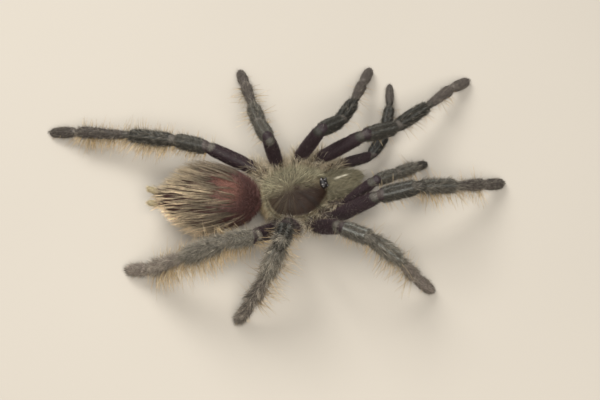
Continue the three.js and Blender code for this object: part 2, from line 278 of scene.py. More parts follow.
for side in ("left", "right"):
    corners = corners_of(f"{side}_spinneret")
    corners = corners[np.argsort(corners @ tail_heading)]
    near, far = corners[: len(corners) // 5].mean(0), corners[-len(corners) // 8:].mean(0)
    near = near - unit(far - near) * SPINNERET_INSET
    radii = SPINNERET_RADIUS * np.array(SPINNERET_BULGE)
    add_tube(near + np.outer(np.linspace(0, 1, len(radii)), far - near), radii, radii, 12)
    add_bone("abdomen", "spinneret", near, far, SPINNERET_GIRTH)

bone_starts, bone_ends, bone_girths, bone_kinds, bone_limbs = (
    np.array([bone[key] for bone in bones]) for key in ("start", "end", "girth", "kind", "limb")
)
bone_spans = bone_ends - bone_starts
bone_headings = unit(bone_spans)
bone_lengths = np.linalg.norm(bone_spans, axis=1)
bone_sides, bone_backs = cross_frame(bone_headings)


def nearest_bone(points):
    """Which piece of the animal each point belongs to."""
    best = np.full(len(points), 1e9)
    found = np.zeros(len(points), int)
    for i in range(len(bones)):
        spread = points - bone_starts[i]
        share = np.clip(spread @ bone_spans[i] / bone_lengths[i] ** 2, 0, 1)
        apart = np.linalg.norm(spread - share[:, None] * bone_spans[i], axis=1) - bone_girths[i]
        closer = apart < best
        best[closer] = apart[closer]
        found[closer] = i
    return found


def dots(first, second):
    """Row by row, how far first reaches along second."""
    return np.einsum("ij,ij->i", first, second)


def bone_place(points, bone):
    """How far along its piece a point is, from 0 to 1, and how many millimetres to its side and its back."""
    spread = points - bone_starts[bone]
    along, to_side, to_back = (dots(spread, ways[bone]) for ways in (bone_headings, bone_sides, bone_backs))
    return along / bone_lengths[bone], to_side, to_back


def fused_mesh(name, parts, cell, passes):
    """One closed surface round overlapping closed parts."""
    mesh = bpy.data.meshes.new(name)
    mesh.from_pydata((np.concatenate(parts["corners"]) * MM).tolist(), [], parts["faces"])
    rough = bpy.data.objects.new(name + "_rough", mesh)
    bpy.context.scene.collection.objects.link(rough)
    fuse = rough.modifiers.new("fuse", "REMESH")
    fuse.mode = "VOXEL"
    fuse.voxel_size = cell * MM
    soften = rough.modifiers.new("soften", "SMOOTH")
    soften.factor = 0.5
    soften.iterations = passes
    seen = rough.evaluated_get(bpy.context.evaluated_depsgraph_get())
    fused = bpy.data.meshes.new_from_object(seen)
    bpy.data.objects.remove(rough)
    fused.name = name
    return fused


def read_mesh(mesh):
    """A mesh's corners in millimetres, its outward directions, and its triangles."""
    corners = np.empty(3 * len(mesh.vertices))
    mesh.vertices.foreach_get("co", corners)
    outward = np.empty(3 * len(mesh.vertices))
    mesh.vertex_normals.foreach_get("vector", outward)
    mesh.calc_loop_triangles()
    triangles = np.empty(3 * len(mesh.loop_triangles), int)
    mesh.loop_triangles.foreach_get("vertices", triangles)
    return corners.reshape(-1, 3) / MM, outward.reshape(-1, 3), triangles.reshape(-1, 3)


def keep_field(mesh, name, values):
    """Keeps each corner's tint, or its place in the grain, on the mesh for its material."""
    kind, title = {"tint": ("FLOAT_COLOR", "color"), "place": ("FLOAT_VECTOR", "vector")}[name]
    if name == "tint":
        values = np.concatenate([values, np.ones((len(values), 1))], axis=1)
    field = mesh.attributes.new(name, kind, "POINT")
    field.data.foreach_set(title, np.ascontiguousarray(values, np.float32).ravel())


FEMUR_DARK = (0.022, 0.0125, 0.0145)
SHIN_GREY = (0.066, 0.060, 0.048)
FOOT_GREY = (0.067, 0.056, 0.048)
FOOT_PAD = (0.030, 0.023, 0.021)
JOINT_PALE = (0.24, 0.21, 0.18)
STRIPE_PALE = (0.27, 0.28, 0.26)
HIP_BROWN = (0.050, 0.036, 0.028)
JAW_OLIVE = (0.185, 0.165, 0.108)
JAW_HIGHLIGHT_PALE = (0.62, 0.58, 0.46)
ABDOMEN_MAROON = (0.062, 0.028, 0.024)
ABDOMEN_RUST = (0.150, 0.068, 0.050)
SPINNERET_TAN = (0.36, 0.30, 0.185)
BASE_TINTS = {
    "coxa": HIP_BROWN, "trunk": HIP_BROWN, "waist": ABDOMEN_MAROON, "femur": FEMUR_DARK, "patella": SHIN_GREY,
    "tibia": SHIN_GREY, "metatarsus": FOOT_GREY, "tarsus": FOOT_GREY, "jaw": JAW_OLIVE,
    "abdomen": ABDOMEN_MAROON, "spinneret": SPINNERET_TAN,
}
# Lightness of knee, shin and foot: the far legs are painted dark as shade, and they are sleek; the near legs,
# with their long hair, are painted paler as light.
PAINTED_LIMB_LIGHT = {
    "left_palp": (0.15, 0.3, 0.9), "left_leg_1": (0.5, 0.36, 1.2), "left_leg_2": (0.4, 0.2, 1.0),
    "left_leg_3": (0.9, 0.75, 0.9), "left_leg_4": (0.56, 0.4, 0.78), "right_palp": (0.9, 0.8, 0.2),
    "right_leg_1": (0.5, 0.75, 0.85), "right_leg_2": (0.95, 1.4, 2.0), "right_leg_3": (0.3, 1.9, 1.45),
    "right_leg_4": (1.8, 1.5, 2.8),
}
SHADE_OF = {"patella": 0, "tibia": 1, "metatarsus": 2, "tarsus": 2}
# Each piece's tint, with its limb's painted light and shade.
bone_tints = np.array([
    np.array(BASE_TINTS[kind]) * (PAINTED_LIMB_LIGHT[limb][SHADE_OF[kind]] if kind in SHADE_OF else 1)
    for kind, limb in zip(bone_kinds, bone_limbs)
])
# How much of the pale web shows at the near and the far end of each piece, and how far from the end it fades.
JOINT_SHOWS = {
    "femur": (0, 0.25), "patella": (0.3, 0.25), "tibia": (0.3, 0.3), "metatarsus": (0.35, 0.7),
    "tarsus": (0.6, 0),
}
JOINT_FADE = (0.5, 1.15)
WEB_ON_BACK = (0.2, 1.4)
bone_shows = np.array([JOINT_SHOWS.get(kind, (0, 0)) for kind in bone_kinds])
# Two pale stripes run along each knee and shin.
STRIPED_KINDS = ("patella", "tibia")
STRIPE_ANGLE = np.radians(24)
STRIPE_HALF_WIDTH = 0.15
STRIPE_EDGE = 2.2 * STRIPE_HALF_WIDTH
STRIPE_SPAN = ((0.04, 0.15), (0.8, 0.95))
STRIPE_SHARE = 0.15
STRIPE_SHARES = {"right_leg_1": 0.32, "right_leg_2": 0.6, "right_leg_3": 0.3}
bone_stripes = np.array([STRIPE_SHARES.get(limb, STRIPE_SHARE) for limb in bone_limbs])
# Abdomen's rust patch, dark soles; painted shade on the jaws' sides, a painted highlight on the left jaw.
PATCH_TOP = (4.0, 6.8)
PATCH_SPAN = ((-0.22, -0.02), (0.15, 0.65))
SOLE_UNDER = (0.1, 0.9)
SOLE_START = (0.35, 0.6)
JAW_SIDE_SHADE = 0.35
JAW_SIDE = (1.6, 3.4)
JAW_LINE_FADE = (0.12, 0.3)
JAW_LINE_SPAN = ((0.22, 0.3), (0.72, 0.84))
JAW_LINE_OUT = 1.0
JAW_LINE_SLANT = 0.9


def smooth(values, low, high):
    share = np.clip((values - low) / (high - low), 0, 1)
    return share * share * (3 - 2 * share)


def between(values, rise, fall):
    """1 between two places, with a soft rise to it and a soft fall from it."""
    return smooth(values, *rise) * (1 - smooth(values, *fall))


def blend_tints(first, second, share):
    return first + (np.asarray(second) - first) * np.clip(share, 0, 1)[:, None]


def markings_and_light(points, bone):
    """Skin and coat colours at points, with painted light and shade, and how bare the skin is there."""
    along, to_side, to_back = bone_place(points, bone)
    kinds = bone_kinds[bone]
    ends = np.minimum(along, 1 - along) * bone_lengths[bone]
    web = bone_shows[bone, (along > 0.5).astype(int)]
    web = web * (1 - smooth(ends, *JOINT_FADE)) * smooth(to_back, *WEB_ON_BACK)
    off_stripe = np.abs(np.abs(np.arctan2(to_side, to_back)) - STRIPE_ANGLE) * np.hypot(to_side, to_back)
    stripe = np.isin(kinds, STRIPED_KINDS) * (1 - smooth(off_stripe, STRIPE_HALF_WIDTH, STRIPE_EDGE))
    stripe *= between(along, *STRIPE_SPAN) * (to_back > 0)
    stripe *= bone_stripes[bone]
    sole = smooth(-to_back, *SOLE_UNDER) * np.isin(kinds, ("tarsus", "metatarsus"))
    sole *= np.where(kinds == "metatarsus", smooth(along, *SOLE_START), 1)
    patch = (kinds == "abdomen") * smooth(to_back, *PATCH_TOP) * between(along, *PATCH_SPAN)
    # Painted shade on the outer sides of the jaws.
    jaw_side_shade = (kinds == "jaw") * smooth(np.abs(points[:, 1] - body_middle[1]), *JAW_SIDE)
    # Painted highlight: a bare line along the top of the left jaw, painted pale.
    off_line = np.abs(to_side + JAW_LINE_OUT - JAW_LINE_SLANT * along)
    jaw_highlight = (kinds == "jaw") * (bone_starts[bone, 1] > body_middle[1]) * (to_back > 0)
    jaw_highlight = jaw_highlight * (1 - smooth(off_line, *JAW_LINE_FADE)) * between(along, *JAW_LINE_SPAN)
    tint = blend_tints(bone_tints[bone], FOOT_PAD, sole)
    tint = blend_tints(tint, ABDOMEN_RUST, patch) * (1 - JAW_SIDE_SHADE * jaw_side_shade)[:, None]
    for pale, share in ((STRIPE_PALE, stripe), (JOINT_PALE, web), (JAW_HIGHLIGHT_PALE, jaw_highlight)):
        tint = blend_tints(tint, pale, share)
    return tint, np.maximum(np.maximum(stripe, web), jaw_highlight)


def feed(tree, node, feeds):
    """Sets a shader node's inputs to values or outputs. A node stands for its own first output."""
    for key, value in feeds.items():
        if isinstance(value, bpy.types.Node):
            value = next(socket for socket in value.outputs if socket.enabled)
        if isinstance(value, bpy.types.NodeSocket):
            tree.links.new(value, node.inputs[key])
        else:
            node.inputs[key].default_value = value


def add_node(tree, kind, feeds, **settings):
    """Adds a shader node with its settings and inputs."""
    node = tree.nodes.new("ShaderNode" + kind)
    for key, value in settings.items():
        setattr(node, key, value)
    feed(tree, node, feeds)
    return node


def new_group(name, inputs, outputs):
    """A shared effect: its tree, what it takes and what it gives, by name and kind."""
    group = bpy.data.node_groups.new(name, "ShaderNodeTree")
    for way, sockets in (("INPUT", inputs), ("OUTPUT", outputs)):
        for title, kind in sockets.items():
            group.interface.new_socket(title, in_out=way, socket_type="NodeSocket" + kind)
    return group, group.nodes.new("NodeGroupInput").outputs, group.nodes.new("NodeGroupOutput")


# Fine streaks and pits that run with the lie of the coat, in the piece's own directions.
NOISE_RANGE = {"From Min": 0.3, "From Max": 0.7}
PIT_FINENESS = 2.2
PIT_RELIEF = 0.5
cuticle, taken, given = new_group(
    "streaked_cuticle",
    {"Tint": "Color", "Place": "Vector", **dict.fromkeys(("Fineness", "Mottling", "Shine", "Dull"), "Float")},
    {"Colour": "Color", "Height": "Float", "Roughness": "Float"},
)
streaks = add_node(cuticle, "TexNoise", {
    "Vector": taken["Place"], "Scale": taken["Fineness"], "Detail": 5, "Roughness": 0.62,
})
spread = add_node(cuticle, "MapRange", {"Value": streaks, **NOISE_RANGE})
centred = add_node(cuticle, "Math", {0: spread, 1: 0.5}, operation="SUBTRACT")
strength = add_node(cuticle, "Math", {0: centred, 1: taken["Mottling"], 2: 1}, operation="MULTIPLY_ADD")
pit_scale = add_node(cuticle, "Math", {0: taken["Fineness"], 1: PIT_FINENESS}, operation="MULTIPLY")
pits = add_node(cuticle, "TexVoronoi", {
    "Vector": taken["Place"], "Scale": pit_scale,
}, feature="DISTANCE_TO_EDGE")
feed(cuticle, given, {
    "Colour": add_node(cuticle, "VectorMath", {0: taken["Tint"], "Scale": strength}, operation="SCALE"),
    "Height": add_node(cuticle, "Math", {0: pits, 1: PIT_RELIEF, 2: streaks}, operation="MULTIPLY_ADD"),
    "Roughness": add_node(cuticle, "MapRange", {
        "Value": spread, "To Min": taken["Shine"], "To Max": taken["Dull"],
    }),
})
BUMP_DEPTH = 0.15


def new_material(name, values):
    """A material, its node tree and its surface, which takes the values."""
    material = bpy.data.materials.new(name)
    material.use_nodes = True
    surface = material.node_tree.nodes["Principled BSDF"]
    feed(material.node_tree, surface, values)
    return material, material.node_tree, surface


def cuticle_material(name, tint, fineness, mottling, shine, dull, bump, coat, gleam=0.4):
    """A hard, slightly waxy surface. It takes its tint from the mesh where none is given."""
    material, tree, surface = new_material(name, {
        "Coat Weight": coat, "Coat Roughness": 0.25, "Specular IOR Level": gleam,
    })
    place = add_node(tree, "Attribute", {}, attribute_name="place").outputs["Vector"]
    effect = add_node(tree, "Group", {
        "Tint": (*tint, 1) if tint else add_node(tree, "Attribute", {}, attribute_name="tint"),
        "Place": place, "Fineness": fineness, "Mottling": mottling, "Shine": shine, "Dull": dull,
    }, node_tree=cuticle).outputs
    relief = add_node(tree, "Bump", {
        "Strength": bump, "Distance": BUMP_DEPTH * MM, "Height": effect["Height"],
    })
    feed(tree, surface, {"Base Color": effect["Colour"], "Roughness": effect["Roughness"], "Normal": relief})
    return material


GRAIN_LENGTH = 0.22
skin_mesh = fused_mesh("skin", flesh, SKIN_CELL, SOFTENING_PASSES)
skin_corners, skin_outward, skin_triangles = read_mesh(skin_mesh)
skin_corners[:, 2] = np.maximum(skin_corners[:, 2], SKIN_FLOOR)
skin_mesh.vertices.foreach_set("co", (skin_corners * MM).ravel())
skin_mesh.update()
skin_bones = nearest_bone(skin_corners)
skin_along, skin_to_side, skin_to_back = bone_place(skin_corners, skin_bones)
grain_along = skin_along * bone_lengths[skin_bones] * GRAIN_LENGTH
keep_field(skin_mesh, "tint", markings_and_light(skin_corners, skin_bones)[0])
keep_field(skin_mesh, "place", np.stack([grain_along, skin_to_side, skin_to_back], axis=1))
skin = bpy.data.objects.new("skin", skin_mesh)
bpy.context.scene.collection.objects.link(skin)
skin_mesh.materials.clear()
skin_mesh.materials.append(cuticle_material(
    "dark_cuticle", None, fineness=2.6, mottling=0.35, shine=0.42, dull=0.65, bump=0.3, coat=0
))
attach(skin, "root")
pairs = [f"{side}_{piece}" for piece in ("chelicera", "spinneret") for side in ("left", "right")]
fleshy = ["sternum_and_coxae", "abdomen", *pairs]
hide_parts(*fleshy, *[node for limb in limbs.values() for node in limb["nodes"]])

# ---- The carapace ------------------------------------------------------------------------------------------
# The shield over head and chest is one thin hard plate, domed, and higher at the head. Behind its middle lies
# a pit, where stomach muscles hold on inside, and shallow grooves run from it to each hip and round the head.
SHELL_HALF_LENGTH = (shell_high[0] - shell_low[0]) / 2
SHELL_HALF_WIDTH = (shell_high[1] - shell_low[1]) / 2
SHELL_END_INSET = 0.25
SHELL_SIDE_INSET = 0.3
SHELL_RIM = shell_low[2] + 0.1
SHELL_DOME = 3.15
SHELL_EDGE = 0.5
SHELL_FULLNESS = 2.4
SHELL_HEAD_FULLNESS = 2.6
SHELL_HEAD_SPAN = (0, 9)
SHELL_RINGS = 46
SHELL_SPOKES = 168
SHELL_UNDERSIDE = ((0.995, 0.12), (0.965, -0.02), (0.9, 0.05))
FRONT_NARROWING = 0.3
NARROWING_SPAN = (0.1, 0.95)
OUTLINE_POWERS = (3.2, 2.2)
OUTLINE_ROOT = 2.5
RIM_POWER = 2.6
HEAD_RISE = 0.75
HEAD_MIDDLE = 5
HEAD_REACH = (3, 3.1)
PIT_AHEAD = -2.0
PIT_DEPTH = 0.3
PIT_SIZE = (0.38, 1.15)
PIT_BOW = 0.22 / 1.3
GROOVE_DEPTH = 0.08
GROOVE_WIDTH = 0.13
GROOVE_TURNS = np.radians((38, 66, 97, 130))
GROOVE_START = (0.9, 2.2)
GROOVE_END = (0.72, 0.95)
NECK_DEPTH = 0.16
NECK_WIDTH = 0.11
NECK_TURN = np.radians(27)
NECK_SPREAD = 0.035
NECK_SPREAD_START = 2
NECK_START = (1.2, 3)
NECK_END = (0.8, 0.98)
LIP_HEIGHT = 0.16
LIP_PLACE = 0.965
LIP_WIDTH = 0.035


def groove(turns, centre, width):
    """A dip along a spoke on both sides."""
    return np.exp(-(((np.abs(np.abs(turns) - centre)) / width) ** 2))


def from_pit(ahead, out):
    """Turn and distance from the pit."""
    return np.arctan2(out, ahead - PIT_AHEAD), np.hypot(ahead - PIT_AHEAD, out)


def neck_turn(reach):
    """The groove round the head turns outwards as it leaves the pit."""
    return NECK_TURN + NECK_SPREAD * np.maximum(reach - NECK_SPREAD_START, 0)


def narrowing(ahead):
    """How much narrower the shield is towards its front."""
    return 1 - FRONT_NARROWING * smooth(ahead, *NARROWING_SPAN)


def shell_height(ahead, out, rim_share):
    """Height of the shield above its rim, where rim_share is 0 at its middle and 1 at its edge."""
    fullness = SHELL_FULLNESS + SHELL_HEAD_FULLNESS * smooth(ahead, *SHELL_HEAD_SPAN)
    dome = SHELL_EDGE + SHELL_DOME * (1 - rim_share ** fullness)
    bump = -(((ahead - HEAD_MIDDLE) / HEAD_REACH[0]) ** 2) - (out / HEAD_REACH[1]) ** 2
    head = HEAD_RISE * np.exp(bump) * (1 - rim_share ** 2)
    turns, reach = from_pit(ahead, out)
    chest = sum(groove(turns, turn, GROOVE_WIDTH) for turn in GROOVE_TURNS)
    chest = chest * smooth(reach, *GROOVE_START) * (1 - smooth(rim_share, *GROOVE_END))
    neck = groove(turns, neck_turn(reach), NECK_WIDTH)
    neck *= smooth(reach, *NECK_START) * (1 - smooth(rim_share, *NECK_END))
    bow = ahead - PIT_AHEAD + PIT_BOW * out ** 2
    pit = PIT_DEPTH * np.exp(-((bow / PIT_SIZE[0]) ** 2) - (out / PIT_SIZE[1]) ** 2)
    lip = LIP_HEIGHT * np.exp(-(((rim_share - LIP_PLACE) / LIP_WIDTH) ** 2))
    return dome + head - GROOVE_DEPTH * chest - NECK_DEPTH * neck - pit + lip


def shell_outline(turn):
    """Where the shield's edge is, for a turn round its middle."""
    ahead, out = np.cos(turn), np.sin(turn)
    stretch = (np.abs(ahead) ** OUTLINE_POWERS[0] + np.abs(out) ** OUTLINE_POWERS[1]) ** (-1 / OUTLINE_ROOT)
    ahead, out = ahead * stretch, out * stretch
    out = out * narrowing(ahead) * (SHELL_HALF_WIDTH - SHELL_SIDE_INSET)
    return ahead * (SHELL_HALF_LENGTH - SHELL_END_INSET), out


edge_ahead, edge_out = shell_outline(np.linspace(0, 2 * np.pi, SHELL_SPOKES, endpoint=False))
rings = [
    (share, shell_height(edge_ahead * share, edge_out * share, np.full(SHELL_SPOKES, share)))
    for share in np.linspace(0, 1, SHELL_RINGS + 1)[1:]
]
rings += [(share, np.full(SHELL_SPOKES, height)) for share, height in SHELL_UNDERSIDE]
shell_corners = [
    np.stack([edge_ahead * share, edge_out * share, SHELL_RIM + height], axis=1) for share, height in rings
]
middle = np.zeros(1)
top = np.array([[0, 0, SHELL_RIM + shell_height(middle, middle, middle)[0]]])
shell_corners = np.concatenate([*shell_corners, top]) + (body_middle[0], body_middle[1], 0)
shell_faces = ring_faces(len(rings), SHELL_SPOKES, reverse=True)
shell_faces += [(len(rings) * SHELL_SPOKES, i, (i + 1) % SHELL_SPOKES) for i in range(SHELL_SPOKES)]
last = (len(rings) - 1) * SHELL_SPOKES
shell_faces.append(tuple(reversed(range(last, last + SHELL_SPOKES))))

SHELL_BROWN = (0.023, 0.0115, 0.0065)
SHELL_DARK = (0.011, 0.007, 0.005)
SHELL_OLIVE = (0.175, 0.150, 0.095)
SHELL_RIM_TINT = (0.170, 0.125, 0.078)
LINE_WIDTH = 0.1
LINE_START = (0.6, 2)
LINE_STRENGTH = 0.3
PIT_SHADE = 0.5
PIT_SHADE_END = (0.5, 1.6)
RAY_COUNT = 46
RAY_WANDER = 11
RAY_SWING = 3
RAY_STRENGTH = 0.3
FAINT_GOLD = 0.16
FAINT_GOLD_START = (-1, 4)
GOLD_BEHIND = 0.5
GOLD_BEHIND_START = (3, 6)
RIM_STRENGTH = 0.8
RIM_START = 0.92
# The left half, lit, keeps fur and olive gold; the bare brown right half is painted shade.
LIT_FUR_SIDE = (-2.0, 2.2)
FURRED_RIM = (0.86, 0.97)
GRAIN_SCALE = (0.2, 6, 6)


def rim_share_of(points):
    """How near the shield's edge points are: 0 at its middle, 1 at its edge."""
    ahead = (points[:, 0] - body_middle[0]) / SHELL_HALF_LENGTH
    out = (points[:, 1] - body_middle[1]) / SHELL_HALF_WIDTH
    return (np.abs(ahead) ** RIM_POWER + np.abs(out / narrowing(ahead)) ** RIM_POWER) ** (1 / RIM_POWER)


def fur_and_lit_share(points):
    """Long hair and olive gold, left of the middle and at the rim; the right half is painted shade."""
    rim = rim_share_of(points)
    left = smooth(points[:, 1] - body_middle[1], *LIT_FUR_SIDE)
    return np.maximum(left * smooth(rim, 0, 0.2), smooth(rim, *FURRED_RIM))


def shell_markings_and_shade(points):
    """Shield colours: olive gold streaks, dark brown as painted shade on the right, and a pale rim."""
    ahead, out = points[:, 0] - body_middle[0], points[:, 1] - body_middle[1]
    turns, reach = from_pit(ahead, out)
    dark = sum(groove(turns, turn, LINE_WIDTH) for turn in (*GROOVE_TURNS, neck_turn(reach)))
    dark = dark * smooth(reach, *LINE_START) + PIT_SHADE - PIT_SHADE * smooth(reach, *PIT_SHADE_END)
    rays = 0.5 + 0.5 * np.sin(turns * RAY_COUNT + RAY_SWING * np.sin(turns * RAY_WANDER))
    faint = FAINT_GOLD * rays * smooth(-ahead, *FAINT_GOLD_START)
    behind = 1 + GOLD_BEHIND * smooth(-ahead, *GOLD_BEHIND_START)
    gold = np.maximum(fur_and_lit_share(points) * (1 - RAY_STRENGTH + RAY_STRENGTH * rays), faint) * behind
    tint = blend_tints(np.tile(SHELL_BROWN, (len(points), 1)), SHELL_OLIVE, gold)
    tint = blend_tints(tint, SHELL_DARK, dark * LINE_STRENGTH)
    return blend_tints(tint, SHELL_RIM_TINT, smooth(rim_share_of(points), RIM_START, 1) * RIM_STRENGTH)


shell_mesh = bpy.data.meshes.new("carapace_shield")
shell_mesh.from_pydata((shell_corners * MM).tolist(), [], shell_faces, shade_flat=False)
keep_field(shell_mesh, "tint", shell_markings_and_shade(shell_corners))
spread = shell_corners[:, :2] - (body_middle[0] + PIT_AHEAD, body_middle[1])
grain = np.concatenate([np.linalg.norm(spread, axis=1, keepdims=True), unit(spread)], axis=1) * GRAIN_SCALE
keep_field(shell_mesh, "place", grain)
shell = bpy.data.objects.new("carapace_shield", shell_mesh)
bpy.context.scene.collection.objects.link(shell)
shell_mesh.materials.append(cuticle_material(
    "shield_cuticle", None, fineness=2.2, mottling=0.5, shine=0.5, dull=0.75, bump=0.5, coat=0, gleam=0.25
))
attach(shell, "root")
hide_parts("carapace")

# ---- The eyes ----------------------------------------------------------------------------------------------
# Eight small lenses sit on one low turret at the front of the shield. They are part of the cuticle, clear and
# wet-looking: two round ones look forward, four ovals to the sides, and a pearly pair lies behind.
TURRET_SIZE = np.array((1.2, 1.5, 1.12))
TURRET_BACK = 0.15
TURRET_DROP = 0.95
TURRET_SINK = 0.35
LUMP_HEIGHT = 0.05
LUMP_FINENESS = (9, 8)
LENS_CLOUDS = 1800
TURRET_BLACK = (0.012, 0.010, 0.010)
eyes_low, eyes_high = (np.array(corner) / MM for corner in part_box("eyes"))
turret_ahead = (eyes_low[0] + eyes_high[0]) / 2 - TURRET_BACK
turret = np.array([turret_ahead, body_middle[1], eyes_high[2] - TURRET_DROP])
# Each lens has its place on the turret, its half size, and its kind.
LENSES = {
    "front_middle": ((0.52, 0.50, 0.62), (0.42, 0.42, 0.42), "dark"),
    "front_side": ((0.92, 0.98, 0.12), (0.34, 0.42, 0.34), "dark"),
    "rear_side": ((-0.28, 1.20, 0.30), (0.36, 0.26, 0.30), "dark"),
    "rear_middle": ((-0.42, 0.72, 0.66), (0.30, 0.24, 0.22), "pearl"),
}


def add_object(name, corners, faces, material, slot, *nodes):
    """A piece of the animal from its corners in millimetres, with its grain in the same directions."""
    mesh = bpy.data.meshes.new(name)
    mesh.from_pydata((corners * MM).tolist(), [], faces, shade_flat=False)
    keep_field(mesh, "place", corners)
    mesh.materials.append(material)
    piece = bpy.data.objects.new(name, mesh)
    bpy.context.scene.collection.objects.link(piece)
    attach(piece, "root")
    if nodes:
        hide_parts(*nodes)


def dome(centre, size, rows=12, ring=24):
    """A closed oval ball, as corners and faces."""
    lean = np.repeat(np.pi * np.arange(1, rows) / rows, ring)
    turn = np.tile(2 * np.pi * np.arange(ring) / ring, rows - 1)
    spots = np.stack([np.sin(lean) * np.cos(turn), np.sin(lean) * np.sin(turn), np.cos(lean)], axis=1)
    corners = centre + np.concatenate([[UP], spots, [-UP]]) * size
    faces = [(0, 1 + i, 1 + (i + 1) % ring) for i in range(ring)]
    faces += ring_faces(rows - 1, ring, 1, reverse=True)
    low = 1 + (rows - 2) * ring
    faces += [(low + ring, low + (i + 1) % ring, low + i) for i in range(ring)]
    return corners, faces


def joined(parts):
    """Several closed parts as the corners and faces of one mesh."""
    corners, faces, count = [], [], 0
    for part_corners, part_faces in parts:
        corners.append(part_corners)
        faces += [tuple(i + count for i in face) for face in part_faces]
        count += len(part_corners)
    return np.concatenate(corners), faces


turret_corners, turret_faces = dome(turret - TURRET_SINK * UP, TURRET_SIZE, 14, 32)
lumps = np.sin(turret_corners[:, :2] * LUMP_FINENESS)
turret_corners[:, 2] += LUMP_HEIGHT * lumps[:, 0] * lumps[:, 1]
turret_material = cuticle_material(
    "turret_cuticle", TURRET_BLACK, fineness=3, mottling=0.4, shine=0.3, dull=0.5, bump=0.3, coat=0.1
)
add_object("eye_turret", turret_corners, turret_faces, turret_material, "eyes", "eyes")

# Two tints that blend into each other in soft clouds.
clouds, taken, given = new_group(
    "soft_clouds", {"Tint": "Color", "Second Tint": "Color", "Place": "Vector", "Fineness": "Float"},
    {"Colour": "Color"},
)
cloud = add_node(clouds, "TexNoise", {"Vector": taken["Place"], "Scale": taken["Fineness"]})
feed(clouds, given, {"Colour": add_node(clouds, "Mix", {
    "Factor": cloud, "A": taken["Tint"], "B": taken["Second Tint"],
}, data_type="RGBA")})


def cloudy_material(name, tint, second_tint, fineness, directions, values):
    """A plain surface whose tint wanders between two."""
    material, tree, surface = new_material(name, values)
    effect = add_node(tree, "Group", {
        "Tint": (*tint, 1), "Second Tint": (*second_tint, 1), "Fineness": fineness,
        "Place": add_node(tree, "TexCoord", {}).outputs[directions],
    }, node_tree=clouds)
    feed(tree, surface, {"Base Color": effect})
    return material


def lens_material(name, tint, depth_tint):
    """A clear domed lens over a dark or pearly bed."""
    return cloudy_material(name, tint, depth_tint, LENS_CLOUDS, "Object", {
        "Roughness": 0.07, "Specular IOR Level": 0.7, "Coat Weight": 1, "Coat Roughness": 0.03,
    })


lens_looks = {
    "dark": lens_material("dark_lens", (0.006, 0.005, 0.006), (0.020, 0.012, 0.010)),
    "pearl": lens_material("pearl_lens", (0.10, 0.085, 0.075), (0.22, 0.20, 0.18)),
}
for look, material in lens_looks.items():
    lenses = [
        dome(turret + np.array(spot) * (1, sign, 1), np.array(size))
        for spot, size, kind in LENSES.values() if kind == look for sign in (1, -1)
    ]
    add_object(f"{look}_lenses", *joined(lenses), material, "eyes")

# ---- The fangs ---------------------------------------------------------------------------------------------
# Each jaw ends in a hollow curved fang of hard black cuticle that folds back under it like a pocket knife. It
# hinges in the jaw's tip on a reddish web, and has a fine keel along its inner side.
FANG_ROUTE = ((16.9, 1.9, 6.9), (17.9, 1.9, 3.4), (13.5, 1.6, 4.5))
FANG_RADII = (0.66, 0.05)
FANG_FLATNESS = 0.85
KEEL_HEIGHT = 0.12
KEEL_WIDTH = 0.1
HORN_TAPER = 1.2
HEADING_STEP = 0.02
FANG_BLACK = (0.010, 0.006, 0.005)
fang_material = cuticle_material(
    "fang_black", FANG_BLACK, fineness=1.5, mottling=0.4, shine=0.12, dull=0.25, bump=0.12, coat=0.6
)


def curved_route(route, share):
    a, b, c = (np.array(point, float) for point in route)
    return a * (1 - share) ** 2 + 2 * b * share * (1 - share) + c * share ** 2


def horn(route, radii, rows, ring, flatness=1.0):
    """A round taper along a curved route, closed at both ends."""
    corners = []
    for share in np.arange(rows) / (rows - 1):
        before, after = (curved_route(route, share + step) for step in (-HEADING_STEP, HEADING_STEP))
        side, back = cross_frame(unit(after - before))
        radius = radii[0] + (radii[1] - radii[0]) * share ** HORN_TAPER
        for turn in 2 * np.pi * np.arange(ring) / ring:
            keel = 1 + KEEL_HEIGHT * np.exp(-((turn - np.pi) ** 2) / KEEL_WIDTH)
            spoke = np.cos(turn) * side * flatness + np.sin(turn) * back
            corners.append(curved_route(route, share) + radius * keel * spoke)
    return np.array(corners), tube_faces(rows, ring)


for side, sign in (("left", 1), ("right", -1)):
    route = [body_place(ahead, sign * out, height) for ahead, out, height in FANG_ROUTE]
    corners, faces = horn(route, FANG_RADII, 28, 20, FANG_FLATNESS)
    add_object(f"{side}_fang_horn", corners, faces, fang_material, "fangs", f"{side}_fang")

# ---- The claws ---------------------------------------------------------------------------------------------
# Every leg ends in two small hooked claws, and each palp in one. They are smooth black cuticle, set side by
# side in the tip, and they fold into the pads of hair under the foot.
CLAW_LENGTH = 0.6
CLAW_MIDDLE = 0.7
CLAW_FLATTENING = (1, 1, 0.25)
CLAW_RADII = (0.10, 0.015)
CLAW_APART = 0.28
CLAW_RISE = 0.35
CLAW_ARCH = 0.25
CLAW_HOOK = 0.45
CLAW_LEAST_HEIGHTS = (0.5, 0.35, 0.15)
LEG_CLAWS = {"signs": (1, -1), "inset": 0.3}
PALP_CLAWS = {"signs": (0,), "inset": -0.5}
horns = []
for name, limb in limbs.items():
    kind = LEG_CLAWS if "leg" in name else PALP_CLAWS
    tip = limb["joints"][-1]
    heading = unit(tip - limb["joints"][-2])
    flat_heading = unit(heading * CLAW_FLATTENING)
    side, back = cross_frame(flat_heading)
    for sign in kind["signs"]:
        start = tip + heading * kind["inset"] * limb["girths"][-1]
        start = start + side * sign * CLAW_APART + back * CLAW_RISE
        middle = start + flat_heading * CLAW_LENGTH * CLAW_MIDDLE + back * CLAW_ARCH
        end = start + flat_heading * CLAW_LENGTH - back * CLAW_HOOK
        route = np.array([start, middle, end])
        route[:, 2] = np.maximum(route[:, 2], CLAW_LEAST_HEIGHTS)
        horns.append(horn(route, CLAW_RADII, 9, 8))
add_object("claws", *joined(horns), fang_material, "fangs")

